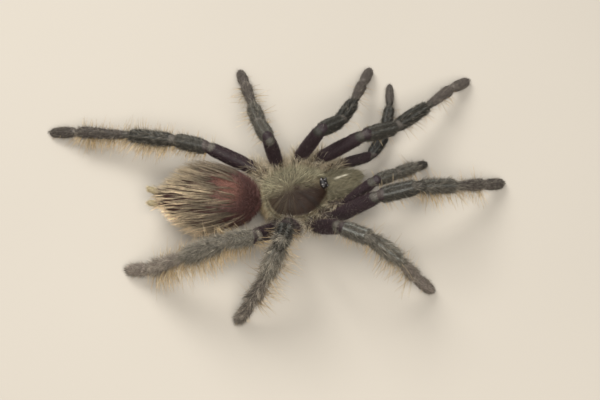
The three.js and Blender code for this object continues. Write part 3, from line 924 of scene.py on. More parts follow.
# ---- The breastplate and lip -------------------------------------------------------------------------------
# Under the chest lies a heart-shaped plate that the hips stand round, with a small lip plate before it. Both
# are hard dark cuticle, gently domed, held by soft skin at their edges, and thinly haired.
PLATE_HEIGHT = 4.75
PLATE_BULGE = 0.5
PLATE_THICKNESS = 0.8
PLATE_FULLNESS = 2.5
PLATE_ROWS = 9
PLATE_SPOKES = 48
PLATE_BACK_SHARE = 0.96
# Each plate has its middle, its half length and half width, its height, and how much it narrows behind.
PLATES = ((-1.0, 5.6, 4.3, PLATE_HEIGHT, 0.12), (5.5, 1.1, 1.15, PLATE_HEIGHT + 0.1, -0.1))
PLATE_BROWN = (0.030, 0.021, 0.018)
plate_material = cuticle_material(
    "plate_cuticle", PLATE_BROWN, fineness=2.4, mottling=0.5, shine=0.28, dull=0.5, bump=0.5, coat=0.2
)


def plate(middle, half_length, half_width, height, heart):
    """A domed plate seen from below, narrower behind."""
    shares = np.arange(1, PLATE_ROWS + 1) / PLATE_ROWS
    rings = [(share, height - PLATE_BULGE * (1 - share ** PLATE_FULLNESS)) for share in shares]
    rings.append((PLATE_BACK_SHARE, height + PLATE_THICKNESS))
    corners = []
    for share, low in rings:
        for turn in 2 * np.pi * np.arange(PLATE_SPOKES) / PLATE_SPOKES:
            ahead = np.cos(turn) * half_length
            out = np.sin(turn) * half_width * (1 + heart * np.cos(turn))
            corners.append(body_place(middle + ahead * share, out * share, low))
    corners.append(body_place(middle, 0, height - PLATE_BULGE))
    last = PLATE_ROWS * PLATE_SPOKES
    faces = ring_faces(PLATE_ROWS + 1, PLATE_SPOKES)
    faces += [(last + PLATE_SPOKES, (i + 1) % PLATE_SPOKES, i) for i in range(PLATE_SPOKES)]
    faces.append(tuple(range(last, last + PLATE_SPOKES)))
    return np.array(corners), faces


plates = [plate(*measures) for measures in PLATES]
add_object("breastplate", *joined(plates), plate_material, "underside")

# ---- The coat of the legs and palps ------------------------------------------------------------------------
# A close velvet of short hairs lies towards the foot, with a halo of finer ones over it. Long golden bristles
# hang under the shins, most on the hind legs. Dark pads sole the feet, and pale tufts hide the leg bases.
HAIR_SIDES = 3
HAIR_SINK = 0.1
HAIR_TAPER = 0.55
HAIR_LENGTHS = (0.7, 1.25)
HAIR_SHADES = (0.8, 1.2)
LIFT_VARIETY = 0.2
WAVE_TURN = 5.5
START_IN_AIM = 0.25
ROOT_SHADE = 0.6
TIP_SHADE = 1.35
FLOOR_CLEARANCE = 0.04
BAKE_PATCH = 0.003
UNWRAP_EDGE = 0.02


def ground_of(corners, outward, triangles):
    """A surface that hair can be sown on."""
    spots = corners[triangles]
    areas = np.linalg.norm(np.cross(spots[:, 1] - spots[:, 0], spots[:, 2] - spots[:, 0]), axis=1) / 2
    return {"spots": spots, "areas": areas, "outward": outward[triangles]}


def sow(ground, density, rng):
    """Roots strewn over a surface, so many to the square millimetre, and which way is out at each."""
    wanted = ground["areas"] * density
    count = int(round(wanted.sum()))
    chosen = rng.choice(len(wanted), count, p=wanted / wanted.sum())
    first, second = rng.random((2, count))
    flip = first + second > 1
    first[flip], second[flip] = 1 - first[flip], 1 - second[flip]
    shares = np.stack([1 - first - second, first, second], axis=1)[:, :, None]
    return (ground["spots"][chosen] * shares).sum(1), unit((ground["outward"][chosen] * shares).sum(1))


def turned(vectors, axes, angles):
    """Vectors turned about axes at right angles to them."""
    return vectors * np.cos(angles)[:, None] + np.cross(axes, vectors) * np.sin(angles)[:, None]


def flattened(vectors, outward):
    """Directions laid flat along a surface."""
    return unit(vectors - outward * dots(vectors, outward)[:, None])


def hair_faces(rows):
    """The triangles of one hair, from the closed root over its rows to the tip."""
    faces = [(0, 2, 1)]
    for a, b, c, d in ring_faces(rows, HAIR_SIDES):
        faces += [(a, b, c), (a, c, d)]
    last = (rows - 1) * HAIR_SIDES
    return faces + [(last + i, last + (i + 1) % HAIR_SIDES, rows * HAIR_SIDES) for i in range(HAIR_SIDES)]


def hairs(roots, outward, lie, patches, tints, length, lift, style, rng, aim=None, root_shade=ROOT_SHADE):
    """Tapered three-sided hairs, as one batch. Their tips turn from the coat's lie towards aim, if given."""
    radius, droop, wave, rows, straggle = style
    count = len(roots)
    lie = turned(flattened(lie, outward), outward, rng.normal(0, straggle, count))
    length = length * rng.uniform(*HAIR_LENGTHS, count)
    lift = np.radians(lift * rng.normal(1, LIFT_VARIETY, count))
    droop = np.radians(droop)
    start, end = (
        lie * np.cos(rise)[:, None] + outward * np.sin(rise)[:, None] for rise in (lift, lift - droop)
    )
    if aim is not None:
        end = unit(end * START_IN_AIM + aim)
    side = unit(np.cross(outward, lie))
    phase = rng.uniform(0, 2 * np.pi, count)
    share = np.linspace(0, 1, rows + 1)
    late = (share ** 2 / 2)[None, :, None]
    bend = (share[None, :, None] - late) * start[:, None] + late * end[:, None]
    sway = wave * length[:, None] * np.sin(phase[:, None] + share[None] * WAVE_TURN) * share[None]
    centres = (roots - outward * HAIR_SINK)[:, None] + bend * length[:, None, None]
    centres = centres + sway[:, :, None] * side[:, None]
    thick = unit(np.cross(side, start))
    taper = radius * (1 - share[:-1]) ** HAIR_TAPER
    turn = 2 * np.pi * np.arange(HAIR_SIDES) / HAIR_SIDES
    ring = np.cos(turn)[None, :, None] * side[:, None] + np.sin(turn)[None, :, None] * thick[:, None]
    bodies = centres[:, :-1, None] + ring[:, None] * taper[None, :, None, None]
    points = np.concatenate([bodies.reshape(count, -1, 3), centres[:, -1:]], axis=1)
    points[..., 2] = np.maximum(points[..., 2], FLOOR_CLEARANCE)
    first = np.arange(count) * points.shape[1]
    triangles = (np.array(hair_faces(rows))[None] + first[:, None, None]).reshape(-1, 3)
    corner_share = np.append(np.repeat(share[:-1], HAIR_SIDES), 1)
    corner_side = np.append(np.tile(np.arange(HAIR_SIDES) / HAIR_SIDES, rows), 0.5)
    offset = (np.stack([corner_side, corner_share], axis=1) - 0.5) * BAKE_PATCH
    places = patches[:, None] + offset[None]
    lightness = root_shade + (TIP_SHADE - root_shade) * corner_share
    colours = tints[:, None] * lightness[None, :, None] * rng.uniform(*HAIR_SHADES, (count, 1, 1))
    return points.reshape(-1, 3), triangles, places.reshape(-1, 2), colours.reshape(-1, 3)


def coat_piece(name, batches, material):
    """Joins batches of hairs into one piece of coat."""
    counts = np.cumsum([0] + [len(batch[0]) for batch in batches])
    corners, places, colours = (np.concatenate([batch[i] for batch in batches]) for i in (0, 2, 3))
    triangles = np.concatenate([batch[1] + count for batch, count in zip(batches, counts)])
    mesh = bpy.data.meshes.new(name)
    mesh.vertices.add(len(corners))
    mesh.vertices.foreach_set("co", (corners * MM).astype(np.float32).ravel())
    mesh.loops.add(3 * len(triangles))
    mesh.loops.foreach_set("vertex_index", triangles.astype(np.int32).ravel())
    mesh.polygons.add(len(triangles))
    mesh.polygons.foreach_set("loop_start", np.arange(0, 3 * len(triangles), 3, dtype=np.int32))
    mesh.update(calc_edges=True)
    patch_map = mesh.uv_layers.new(name="OFBake")
    patch_map.data.foreach_set("uv", places[triangles.ravel()].astype(np.float32).ravel())
    keep_field(mesh, "tint", colours)
    mesh.materials.append(material)
    piece = bpy.data.objects.new(name, mesh)
    bpy.context.scene.collection.objects.link(piece)
    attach(piece, "root")


# Small changes of shade from strand to strand.
strands, taken, given = new_group(
    "strand_shades", {"Tint": "Color", "Place": "Vector", "Darkest": "Float", "Lightest": "Float"},
    {"Colour": "Color"},
)
cloud = add_node(strands, "TexNoise", {"Vector": taken["Place"], "Scale": 1100, "Detail": 3})
strength = add_node(strands, "MapRange", {
    "Value": cloud, **NOISE_RANGE, "To Min": taken["Darkest"], "To Max": taken["Lightest"],
})
feed(strands, given, {
    "Colour": add_node(strands, "VectorMath", {0: taken["Tint"], "Scale": strength}, operation="SCALE"),
})


def hair_material(name, roughness, gloss, variation):
    """Fine hair: its own colour with small changes from strand to strand, and a soft shine along it."""
    material, tree, surface = new_material(name, {"Roughness": roughness, "Specular IOR Level": gloss})
    effect = add_node(tree, "Group", {
        "Tint": add_node(tree, "Attribute", {}, attribute_name="tint"),
        "Place": add_node(tree, "TexCoord", {}).outputs["Object"],
        "Darkest": 1 - variation, "Lightest": 1 + variation,
    }, node_tree=strands)
    feed(tree, surface, {"Base Color": effect})
    return material


# The layers of a limb's coat, with lists that go from hip to foot. "own" is how much of the skin's own colour
# a hair has. A style is its radius, the droop of its tip, its wave, its rows of corners, and how far it can
# stray from the lie.
LIMB_KINDS = ("coxa", *LEG_PIECES)
LEG_LAYERS = {
    "velvet": {
        "density": (14, 20, 22, 22, 24, 26), "length": (1.2, 0.95, 1.15, 1.2, 0.95, 0.75),
        "lift": (35, 26, 34, 36, 36, 34), "own": 1, "tints": ((0, 0, 0), (0, 0, 0)),
        "style": (0.055, 0, 0, 1, 0.35),
    },
    "halo": {
        "density": (3, 1.2, 2, 9, 9, 6), "length": (2.2, 1.7, 2.1, 2.3, 2.1, 1.5), "lift": 46,
        "own": 0.35, "tints": ((0.42, 0.38, 0.31), (0.20, 0.17, 0.125)), "style": (0.042, 25, 0.04, 2, 0.4),
    },
    "bristles": {
        "density": (0.4, 0.5, 2, 3.6, 4, 0.3), "length": (2.8, 3.0, 4.2, 6.0, 5.8, 2.0), "lift": 66,
        "own": 0, "tints": ((0.62, 0.50, 0.32), (0.46, 0.32, 0.16)), "style": (0.075, 34, 0.03, 4, 0.4),
    },
    "tufts": {
        "density": (8, 7, 0, 0, 0, 0), "length": (4.8, 4.0, 0, 0, 0, 0), "lift": 58,
        "own": 0, "tints": ((0.72, 0.64, 0.48), (0.34, 0.26, 0.16)), "style": (0.052, 30, 0.05, 3, 0.55),
    },
    "pads": {
        "density": (0, 0, 0, 0, 18, 30), "length": 0.75, "lift": 40,
        "own": 1, "tints": ((0, 0, 0), (0, 0, 0)), "style": (0.06, 0, 0, 1, 0.3),
    },
}
OWN_LIGHTNESS = 2.3
PALP_HAIR = 0.85
SLEEK_LENGTH = 0.75
BARE_LOSS = 0.85
BRISTLES_ABOVE = 0.02
BRISTLE_LENGTH_ABOVE = 0.5
BRISTLE_LENGTHS = (0.5, 1.1)
BRISTLE_AIM = (1, 1, 0.3)
BRISTLES_LEFT = 0.4
STEEPEST_BRISTLE = 0.3
TUFT_END = (0.1, 0.32)
PAD_START = (0.35, 0.5)
JOINT_HAIR = 0.55
JOINT_HAIR_FADE = (0.6, 1.6)
RIGHT_TUFTS = 0.3
RIGHT_TUFT_LENGTH = 0.6
CLOSE_LAYERS = ("velvet", "halo", "pads")
# Hairs that stand close together share a shade and a slant.
CLUMP_STRIDES = (7919, 104729, 1299709)
CLUMP_CODES = 4093
CLUMP_WIDTH = 0.55
CLUMP_SLANT = 0.4
CLUMP_CONTRAST = (0.6, 0.3, 0.6, 1, 1, 1)
# How much of the halo and of the bristles each limb has, and how strongly its clumps differ.
SHAGGY = {
    "left_palp": (0.2, 0.1, 0.25), "left_leg_1": (0.2, 0.15, 0.25), "left_leg_2": (0.15, 0.1, 0.25),
    "left_leg_3": (0.35, 0.3, 0.4), "left_leg_4": (0.5, 2.2, 0.4), "right_palp": (0.6, 0.5, 0.35),
    "right_leg_1": (0.6, 0.7, 0.4), "right_leg_2": (0.9, 0.7, 0.5), "right_leg_3": (1.8, 1.1, 0.8),
    "right_leg_4": (1.7, 2.0, 0.5),
}
leg_hair = hair_material("leg_hair", 0.45, 0.35, 0.25)
skin_ground = ground_of(skin_corners, skin_outward, skin_triangles)
skin_triangle_bones = skin_bones[skin_triangles[:, 0]]
triangle_limbs = bone_limbs[skin_triangle_bones]
triangle_kinds = bone_kinds[skin_triangle_bones]


def by_kind(values, kinds):
    """A value for each place, from one for all, or from one for each kind of piece and 0 off the limbs."""
    if np.ndim(values) == 0:
        return np.full(len(kinds), float(values))
    return sum(value * (kinds == kind) for value, kind in zip(values, LIMB_KINDS))


def kept_share(layer, kinds, along, to_back, bare):
    """How many of a layer's hairs stay at places along and round their pieces."""
    if layer == "bristles":
        return np.where(to_back < 0, 1, BRISTLES_ABOVE) * (kinds != "femur")
    if layer == "tufts":
        return np.where(kinds == "coxa", 1, 1 - smooth(along, *TUFT_END))
    if layer == "pads":
        return (to_back < 0) * np.where(kinds == "tarsus", 1, smooth(along, *PAD_START))
    return 1 - BARE_LOSS * bare


def clump_of(roots):
    """A number for the small clump that each root grows in."""
    return (np.floor(roots / CLUMP_WIDTH).astype(int) * CLUMP_STRIDES).sum(1) % CLUMP_CODES


def off_edges(shares):
    """Shares of the width of an unwrap, kept a little off its edges."""
    return UNWRAP_EDGE + (1 - 2 * UNWRAP_EDGE) * np.clip(shares, 0, 1)


def round_bone(roots, bone):
    """Each root's place along its piece, and round it from 0 to 1."""
    along, to_side, to_back = bone_place(roots, bone)
    return along, np.arctan2(to_side, to_back) / (2 * np.pi) + 0.5


def limb_patches(roots, bone):
    """Each root's place on the limb's own unwrap: along it, and round it."""
    along, across = round_bone(roots, bone)
    piece = by_kind(range(len(LIMB_KINDS)), bone_kinds[bone])
    return off_edges(np.stack([(piece + np.clip(along, 0, 1)) / len(LIMB_KINDS), across], axis=1))


for number, (name, limb) in enumerate(limbs.items()):
    rng = np.random.default_rng(100 + number)
    halo_share, bristle_share, clump_contrast = SHAGGY[name]
    shares = {"halo": halo_share, "bristles": bristle_share, "tufts": RIGHT_TUFTS if "right" in name else 1}
    size = (PALP_HAIR if "palp" in name else 1) * (SLEEK_LENGTH + (1 - SLEEK_LENGTH) * halo_share)
    batches = []
    for layer, look in LEG_LAYERS.items():
        density = (triangle_limbs == name) * by_kind(look["density"], triangle_kinds) * shares.get(layer, 1)
        roots, outward = sow(skin_ground, density, rng)
        bone = nearest_bone(roots)
        along, to_side, to_back = bone_place(roots, bone)
        own, bare = markings_and_light(roots, bone)
        kept = rng.random(len(roots)) < kept_share(layer, bone_kinds[bone], along, to_back, bare)
        if layer == "bristles":
            kept &= (outward[:, 1] < 0) | (rng.random(len(roots)) < BRISTLES_LEFT)
            kept &= outward[:, 2] < STEEPEST_BRISTLE
        roots, outward, bone, own, along, to_back = (
            values[kept] for values in (roots, outward, bone, own, along, to_back)
        )
        kinds = bone_kinds[bone]
        pale, dark = (np.array(tint) for tint in look["tints"])
        shade = pale + rng.random((len(roots), 1)) * (dark - pale)
        shade = own * OWN_LIGHTNESS * look["own"] + shade * (1 - look["own"])
        length = by_kind(look["length"], kinds) * size
        if layer == "tufts" and "right" in name:
            length = length * RIGHT_TUFT_LENGTH
        if layer == "bristles":
            length = length * rng.uniform(*BRISTLE_LENGTHS, len(roots))
            length = length * np.where(to_back < 0, 1, BRISTLE_LENGTH_ABOVE)
        if layer in ("velvet", "pads"):
            ends = np.minimum(along, 1 - along) * bone_lengths[bone]
            near_joint = JOINT_HAIR + (1 - JOINT_HAIR) * smooth(ends, *JOINT_HAIR_FADE)
            length = length * np.where((kinds == "tarsus") & (along > 0.5), 1, near_joint)
        lie = flattened(bone_headings[bone], outward)
        if layer in CLOSE_LAYERS:
            clump = clump_of(roots)
            contrast = clump_contrast * by_kind(CLUMP_CONTRAST, kinds)
            shade = shade * np.exp(contrast * rng.uniform(-1, 1, CLUMP_CODES)[clump])[:, None]
            lie = turned(lie, outward, CLUMP_SLANT * rng.uniform(-1, 1, CLUMP_CODES)[clump])
        aim = unit(outward * BRISTLE_AIM) if layer == "bristles" else None
        batches.append(hairs(
            roots, outward, lie, limb_patches(roots, bone), shade, length, by_kind(look["lift"], kinds),
            look["style"], rng, aim,
        ))
    coat_piece(f"{name}_coat", batches, leg_hair)

# ---- The coat of the abdomen -------------------------------------------------------------------------------
# A rust-red patch of short hair covers its front and top. Long fine hair grows behind and beside it in loose
# locks that sweep back to the spinnerets, pale tan at the tips, with the dark skin seen between them.
FELT_STYLE = (0.055, 0, 0, 1, 0.3)
FELT_DENSITY = 20
FELT_LIGHTNESS = 1.9
FELT_LENGTH = 1.1
FELT_LENGTH_IN_FRONT = 0.8
FELT_RISE = 24
FELT_RISE_IN_FRONT = 26
FELT_FRONT = (1, 8)
LOCK_TAN = (0.52, 0.42, 0.28)
LOCK_BROWN = (0.15, 0.115, 0.085)
# Painted light and shade: the right locks are lighter, most of all low down, the left ones darker.
LOCK_SIDE_LIGHT = {"left": 0.9, "right": 1.1}
LOCK_VARIETY = {"left": 0.3, "right": 0.65}
LOCK_LOW_PAINTED_LIGHT = {"left": 0, "right": 0.5}
LOCK_LOW_SPAN = (-1, 3.5)
LOCK_TIP_GLOW = 0.25
LOCK_TIP_START = (0.5, 1.1)
LOCK_TAN_SHARES = (0.4, 0.6)
LOCK_TAN_START = (-0.2, 0.9)
LOCK_ROOT_SHADE = 0.2
LOCK_STRANDS = 7
LOCK_DENSITY = 1.1
LOCK_LENGTH = (7.0, 4.0)
LOCK_LENGTH_SPAN = (0.3, 1.2)
LOCK_SPREAD = (0.12, 0.7)
LOCK_SPREAD_SPAN = (-0.1, 1.0)
LOCK_SAG = 0.08
LOCK_GATHER = 0.2
LOCK_SCATTER = 0.14
LOCK_TURN = 0.45
LOCK_STRAY = 0.03
LOCK_LIFT = 12
LOCK_STYLE = (0.05, 6, 0.012, 5, 0.02)
LOCKLESS_TOP = (4.7, 6.3)
LOCKLESS_TOP_END = (0.15, 0.45)
LOCKLESS_FRONT = (-0.3, 0)
LOCKLESS_FRONT_LEAN = 0.12
LOCKLESS_LEAN_SPAN = (1, 4)
LOCKLESS_SHARE = 1.02
EGG_UNWRAP_START = 0.25
EGG_UNWRAP_SHARE = 0.5
abdomen_hair = hair_material("abdomen_hair", 0.42, 0.4, 0.2)
rng = np.random.default_rng(300)
on_abdomen = (triangle_kinds == "abdomen").astype(float)
egg_bone = int(np.argmax(bone_kinds == "abdomen"))
egg_middle = (egg_start + egg_end) / 2


def on_egg(roots):
    return np.full(len(roots), egg_bone)


def abdomen_patches(roots):
    """Each root's place on the egg's own unwrap: along it, and round it."""
    along, across = round_bone(roots, on_egg(roots))
    along = np.clip(EGG_UNWRAP_START + EGG_UNWRAP_SHARE * along, UNWRAP_EDGE, 1 - UNWRAP_EDGE)
    return np.stack([along, off_edges(across)], axis=1)


def ranging(ends, share):
    """From the first of two values to the second."""
    return ends[0] + (ends[1] - ends[0]) * share


roots, outward = sow(skin_ground, on_abdomen * FELT_DENSITY, rng)
tints = markings_and_light(roots, on_egg(roots))[0] * FELT_LIGHTNESS
front = 1 - smooth((roots - egg_start) @ tail_heading, *FELT_FRONT)
length = FELT_LENGTH + FELT_LENGTH_IN_FRONT * front
rise = FELT_RISE + FELT_RISE_IN_FRONT * front
lie = np.tile(tail_heading, (len(roots), 1))
felt = hairs(roots, outward, lie, abdomen_patches(roots), tints, length, rise, FELT_STYLE, rng)
coat_piece("abdomen_felt", [felt], abdomen_hair)
for side, sign in (("left", -1), ("right", 1)):
    half = on_abdomen * ((skin_ground["spots"].mean(1) - egg_middle) @ bone_sides[egg_bone] * sign > 0)
    roots, outward = sow(skin_ground, half * LOCK_DENSITY, rng)
    along, _, to_back = bone_place(roots, on_egg(roots))
    patch = smooth(to_back, *LOCKLESS_TOP) * (1 - smooth(along, *LOCKLESS_TOP_END))
    front = along - LOCKLESS_FRONT_LEAN * smooth(to_back, *LOCKLESS_LEAN_SPAN)
    front = 1 - smooth(front, *LOCKLESS_FRONT)
    kept = rng.random(len(roots)) > np.maximum(patch, front) * LOCKLESS_SHARE
    # Painted light on the low right locks, and a random shade for each lock.
    light_and_variety = 1 + LOCK_LOW_PAINTED_LIGHT[side] * (1 - smooth(to_back, *LOCK_LOW_SPAN))
    light_and_variety = light_and_variety * np.exp(LOCK_VARIETY[side] * rng.uniform(-1, 1, len(roots)))
    roots, outward, along, light_and_variety = (
        np.repeat(values[kept], LOCK_STRANDS, axis=0) for values in (roots, outward, along, light_and_variety)
    )
    lock_turn, lock_tan = np.repeat(rng.random((kept.sum(), 2)), LOCK_STRANDS, axis=0).T
    scatter = rng.normal(0, LOCK_SCATTER, roots.shape)
    scatter -= outward * dots(scatter, outward)[:, None]
    lie = flattened(tail_heading - LOCK_SAG * UP - LOCK_GATHER * scatter, outward)
    lie = turned(lie, outward, (lock_turn - 0.5) * LOCK_TURN)
    radial = roots - egg_start
    radial = unit(radial - np.outer(radial @ tail_heading, tail_heading))
    spread = ranging(LOCK_SPREAD, smooth(along, *LOCK_SPREAD_SPAN))
    aim = unit(tail_heading + spread[:, None] * radial + rng.normal(0, LOCK_STRAY, roots.shape))
    tan_share = lock_tan * LOCK_TAN_SHARES[0] + LOCK_TAN_SHARES[1] * smooth(along, *LOCK_TAN_START)
    shade = blend_tints(np.tile(LOCK_BROWN, (len(roots), 1)), LOCK_TAN, tan_share)
    tip_glow = 1 + LOCK_TIP_GLOW * smooth(along, *LOCK_TIP_START)
    shade = shade * (LOCK_SIDE_LIGHT[side] * light_and_variety * tip_glow)[:, None]
    length = ranging(LOCK_LENGTH, smooth(along, *LOCK_LENGTH_SPAN))
    locks = hairs(
        roots + scatter, outward, lie, abdomen_patches(roots), shade, length, LOCK_LIFT, LOCK_STYLE, rng, aim,
        LOCK_ROOT_SHADE,
    )
    coat_piece(f"abdomen_locks_{side}", [locks], abdomen_hair)

# ---- The coat of the carapace ------------------------------------------------------------------------------
# Short flat hair lies outwards from the pit, forwards on the head, with longer raised hair through it that is
# densest towards the rim. A fringe stands out all round the rim, longest and most golden at the back.
FRINGE_GOLD = (0.46, 0.36, 0.22)
RAISED_OLIVE = (0.50, 0.46, 0.31)
SHIELD_ROOT_SHADE = 0.35
# A layer's density is its least, and how much more there is on the lit left half and at the rim.
SHIELD_FELT = {"density": (6, 20), "length": 0.7, "lift": 18, "style": (0.045, 0, 0, 1, 0.35)}
SHIELD_FELT_LIGHTNESS = 1.6
RAISED_HAIR = {"density": (0.3, 10), "length": 2.3, "lift": 44, "style": (0.045, 20, 0.05, 3, 0.45)}
RAISED_LIGHTNESS = 2
RAISED_SHADES = (0.5, 1.5)
RAISED_OLIVE_SHARES = (0.1, 0.7)
FRINGE_STYLE = (0.04, 28, 0.05, 3, 0.3)
FRINGE_LIFT = 20
FRINGE_UPWARD = 4
FRINGE_ROUND = 2200
FRINGE_BEHIND = 1800
FRINGE_SPREAD = 0.5
FRINGE_BEHIND_START = (4, 8)
FRINGE_HEIGHT = 0.35
FRINGE_INSET = 0.975
FRINGE_LENGTH = 1.2
FRINGE_LENGTH_BEHIND = 2.6
FRINGE_LENGTH_VARIETY = 0.8
TURRET_CLEARING = (2.5, 2.1, 4)
CLEARING_BACK = 0.9
SHIELD_UNWRAP_WIDTH = 20
HEAD_LIE_START = (1, 5)
HEAD_LIE_SIDES = (2, 4)
FORWARD = np.array([1.0, 0, 0])
shield_hair = hair_material("shield_hair", 0.42, 0.4, 0.25)
rng = np.random.default_rng(400)
shield_corners, shield_outward, shield_triangles = read_mesh(shell_mesh)
shield_ground = ground_of(shield_corners, shield_outward, shield_triangles)
facing_up = (shield_outward[shield_triangles[:, 0], 2] > 0.05).astype(float)
triangle_fur = fur_and_lit_share(shield_ground["spots"].mean(1))
pit_place = body_place(PIT_AHEAD, 0, 0)


def shield_patches(roots):
    """Each root's place on the shield laid flat."""
    return 0.5 + (roots - body_middle)[:, :2] / SHIELD_UNWRAP_WIDTH


def shield_lie(roots):
    """Hair runs out from the pit, and forwards on the head."""
    away = unit((roots - pit_place) * (1, 1, 0))
    ahead, out = (roots - body_middle).T[:2]
    head = smooth(ahead, *HEAD_LIE_START) * (1 - smooth(np.abs(out), *HEAD_LIE_SIDES))
    return unit(away * (1 - head)[:, None] + FORWARD * head[:, None] + 0.001)


def shield_layer(look, tint_of):
    least, more = look["density"]
    roots, outward = sow(shield_ground, facing_up * (least + more * triangle_fur), rng)
    off_eyes = np.linalg.norm((roots - turret + CLEARING_BACK * FORWARD) / TURRET_CLEARING, axis=1) > 1
    roots, outward = roots[off_eyes], outward[off_eyes]
    return hairs(
        roots, outward, shield_lie(roots), shield_patches(roots), tint_of(roots), look["length"],
        look["lift"], look["style"], rng, root_shade=SHIELD_ROOT_SHADE,
    )


def felt_tint(roots):
    return shell_markings_and_shade(roots) * SHIELD_FELT_LIGHTNESS


def raised_tint(roots):
    own = shell_markings_and_shade(roots) * RAISED_LIGHTNESS
    least, more = RAISED_OLIVE_SHARES
    tint = blend_tints(own, RAISED_OLIVE, least + more * fur_and_lit_share(roots))
    return tint * rng.uniform(*RAISED_SHADES, (len(roots), 1))


batches = [shield_layer(SHIELD_FELT, felt_tint), shield_layer(RAISED_HAIR, raised_tint)]
turn = [rng.uniform(0, 2 * np.pi, FRINGE_ROUND), rng.normal(np.pi, FRINGE_SPREAD, FRINGE_BEHIND)]
turn = np.concatenate(turn)
edge = np.stack([*shell_outline(turn), np.zeros(len(turn))], axis=1)
roots = edge * FRINGE_INSET + body_place(0, 0, SHELL_RIM + FRINGE_HEIGHT)
behind = smooth(-edge[:, 0], *FRINGE_BEHIND_START)
length = FRINGE_LENGTH + FRINGE_LENGTH_BEHIND * behind + rng.uniform(0, FRINGE_LENGTH_VARIETY, len(turn))
shade = blend_tints(np.tile(SHELL_RIM_TINT, (len(turn), 1)) * SHIELD_FELT_LIGHTNESS, FRINGE_GOLD, behind)
outward = unit(edge + FRINGE_UPWARD * UP)
patches = shield_patches(roots)
batches.append(hairs(roots, outward, edge, patches, shade, length, FRINGE_LIFT, FRINGE_STYLE, rng))
coat_piece("carapace_coat", batches, shield_hair)

# ---- The coat of the jaws, waist and spinnerets ------------------------------------------------------------
# Olive hair lies forwards over the jaws, fine and close, with longer bristles standing through it and a brush
# of red-orange hair between jaws and mouth. Short brown hair covers the rest of the underside.
JAW_RED = (0.30, 0.10, 0.045)
JAW_LAYERS = (
    {"density": 24, "lightness": 1.35, "length": 1.7, "lift": 34, "style": (0.045, 18, 0.03, 2, 0.3)},
    {"density": 4, "lightness": 1.9, "length": 2.8, "lift": 46, "style": (0.038, 24, 0.04, 3, 0.35)},
)
BRUSH_STYLE = (0.045, 24, 0.04, 3, 0.2)
BRUSH_LENGTH = 1.7
BRUSH_LIFT = 60
BRUSH_COUNT = 900
BRUSH_AHEAD = (10, 16.4)
BRUSH_HALF_WIDTH = 2.6
BRUSH_HEIGHT = 6.1
BELLY_STYLE = (0.055, 0, 0, 1, 0.3)
BELLY_DENSITY = 16
BELLY_LIGHTNESS = 1.6
BELLY_LENGTH = 1.0
BELLY_LIFT = 24
JAW_UNWRAP_LENGTH = 12
JAW_LANE_EDGE = 0.01
JAW_LANE_WIDTH = 0.48
jaw_hair = hair_material("jaw_hair", 0.42, 0.4, 0.2)
rng = np.random.default_rng(500)
on_jaws = (triangle_kinds == "jaw").astype(float)


def jaw_patches(roots):
    """Each root's place on the two jaws laid side by side."""
    spread = roots - body_place(JAW_START, 0, JAW_HEIGHT)
    across = np.arctan2(np.abs(spread[:, 1]) - JAW_MIDDLE, spread[:, 2]) / (2 * np.pi) + 0.5
    lane = np.where(spread[:, 1] > 0, 0.5, 0)
    along = np.clip(spread[:, 0] / JAW_UNWRAP_LENGTH, UNWRAP_EDGE, 1 - UNWRAP_EDGE)
    return np.stack([along, JAW_LANE_EDGE + lane + JAW_LANE_WIDTH * across], axis=1)


def belly_layer(roots, outward, lie, tints, length, lift, style):
    return hairs(
        roots, outward, np.broadcast_to(lie, roots.shape), jaw_patches(roots),
        np.broadcast_to(tints, roots.shape), length, lift, style, rng,
    )


def jaw_layer(density, lightness, length, lift, style):
    roots, outward = sow(skin_ground, on_jaws * density, rng)
    own, bare = markings_and_light(roots, nearest_bone(roots))
    kept = rng.random(len(roots)) > bare
    return belly_layer(roots[kept], outward[kept], FORWARD, own[kept] * lightness, length, lift, style)


batches = [jaw_layer(**look) for look in JAW_LAYERS]
ahead = rng.uniform(*BRUSH_AHEAD, BRUSH_COUNT)
out = rng.uniform(-BRUSH_HALF_WIDTH, BRUSH_HALF_WIDTH, BRUSH_COUNT)
roots = np.stack([ahead, out, np.full(BRUSH_COUNT, BRUSH_HEIGHT)], axis=1) + body_place(0, 0, 0)
outward = np.tile(-UP, (BRUSH_COUNT, 1))
batches.append(belly_layer(roots, outward, FORWARD, JAW_RED, BRUSH_LENGTH, BRUSH_LIFT, BRUSH_STYLE))
rest = np.isin(triangle_kinds, ("trunk", "waist", "spinneret")).astype(float)
roots, outward = sow(skin_ground, rest * BELLY_DENSITY, rng)
bone = nearest_bone(roots)
lie = bone_headings[bone]
tints = markings_and_light(roots, bone)[0] * BELLY_LIGHTNESS
batches.append(belly_layer(roots, outward, lie, tints, BELLY_LENGTH, BELLY_LIFT, BELLY_STYLE))
coat_piece("jaw_and_belly_coat", batches, jaw_hair)

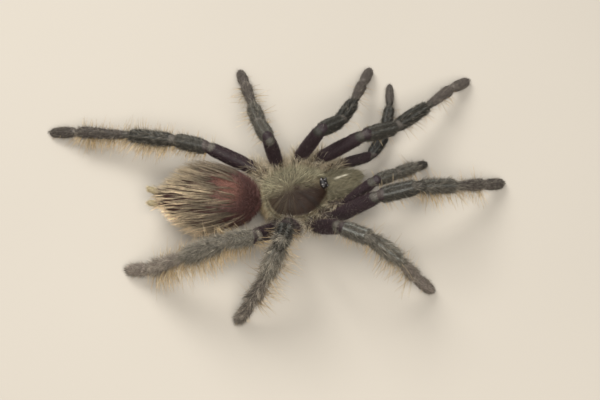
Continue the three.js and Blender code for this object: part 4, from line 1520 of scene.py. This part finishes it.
# ---- Floor, light and camera -------------------------------------------------------------------------------
# The model stands on a plain pale floor, in soft light from above and from its far side.
FLOOR_TINT = (0.50, 0.46, 0.40)
FLOOR_VARIETY = 1.08
FLOOR_CLOUDS = 30
FLOOR_HALF = 1.5
floor_mesh = bpy.data.meshes.new("floor")
floor_corners = [(x * FLOOR_HALF, y * FLOOR_HALF, 0) for x, y in ((-1, -1), (1, -1), (1, 1), (-1, 1))]
floor_mesh.from_pydata(floor_corners, [], [(0, 1, 2, 3)])
floor_mesh.materials.append(cloudy_material(
    "pale_floor", FLOOR_TINT, [FLOOR_VARIETY * value for value in FLOOR_TINT], FLOOR_CLOUDS, "Generated",
    {"Roughness": 0.8},
))
floor = bpy.data.objects.new("floor", floor_mesh)
bpy.context.scene.collection.objects.link(floor)

world = bpy.data.worlds.new("studio")
world.use_nodes = True
feed(world.node_tree, world.node_tree.nodes["Background"], {"Color": (0.90, 0.92, 0.95, 1), "Strength": 0.26})
bpy.context.scene.world = world
bpy.context.scene.view_settings.view_transform = "Standard"

# Each lamp has its place and its width in metres, its power and its tint.
LAMPS = {
    "window": ((-0.14, 0.36, 0.46), 0.34, 2.7, (1.0, 0.98, 0.94)),
    "overhead": ((0.00, -0.28, 0.56), 0.4, 3.7, (1.0, 0.96, 0.90)),
}


def stand(name, data, place, heading):
    """Puts a lamp or a camera in its place, in metres, looking along a heading."""
    thing = bpy.data.objects.new(name, data)
    thing.location = Vector(place)
    thing.rotation_mode = "QUATERNION"
    thing.rotation_quaternion = Vector(heading).to_track_quat("-Z", "Y")
    bpy.context.scene.collection.objects.link(thing)
    return thing


for name, (place, size, power, tint) in LAMPS.items():
    lamp = bpy.data.lights.new(name, "AREA")
    lamp.size = size
    lamp.energy = power
    lamp.color = tint
    stand(name, lamp, place, -Vector(place))

VIEW_TURN = np.radians(-13)
VIEW_RISE = np.radians(66)
VIEW_DISTANCE = 405
VIEW_MIDDLE = (0.456, -1.624, 7.841)
camera_data = bpy.data.cameras.new("camera")
camera_data.lens = 90
camera_data.sensor_width = 36
camera_data.clip_start = 0.01
camera_data.clip_end = 20
back_off = np.array([
    np.sin(VIEW_TURN) * np.cos(VIEW_RISE), -np.cos(VIEW_TURN) * np.cos(VIEW_RISE), np.sin(VIEW_RISE)
])
camera_place = (body_place(*VIEW_MIDDLE) + back_off * VIEW_DISTANCE) * MM
bpy.context.scene.camera = stand("camera", camera_data, camera_place, -back_off)
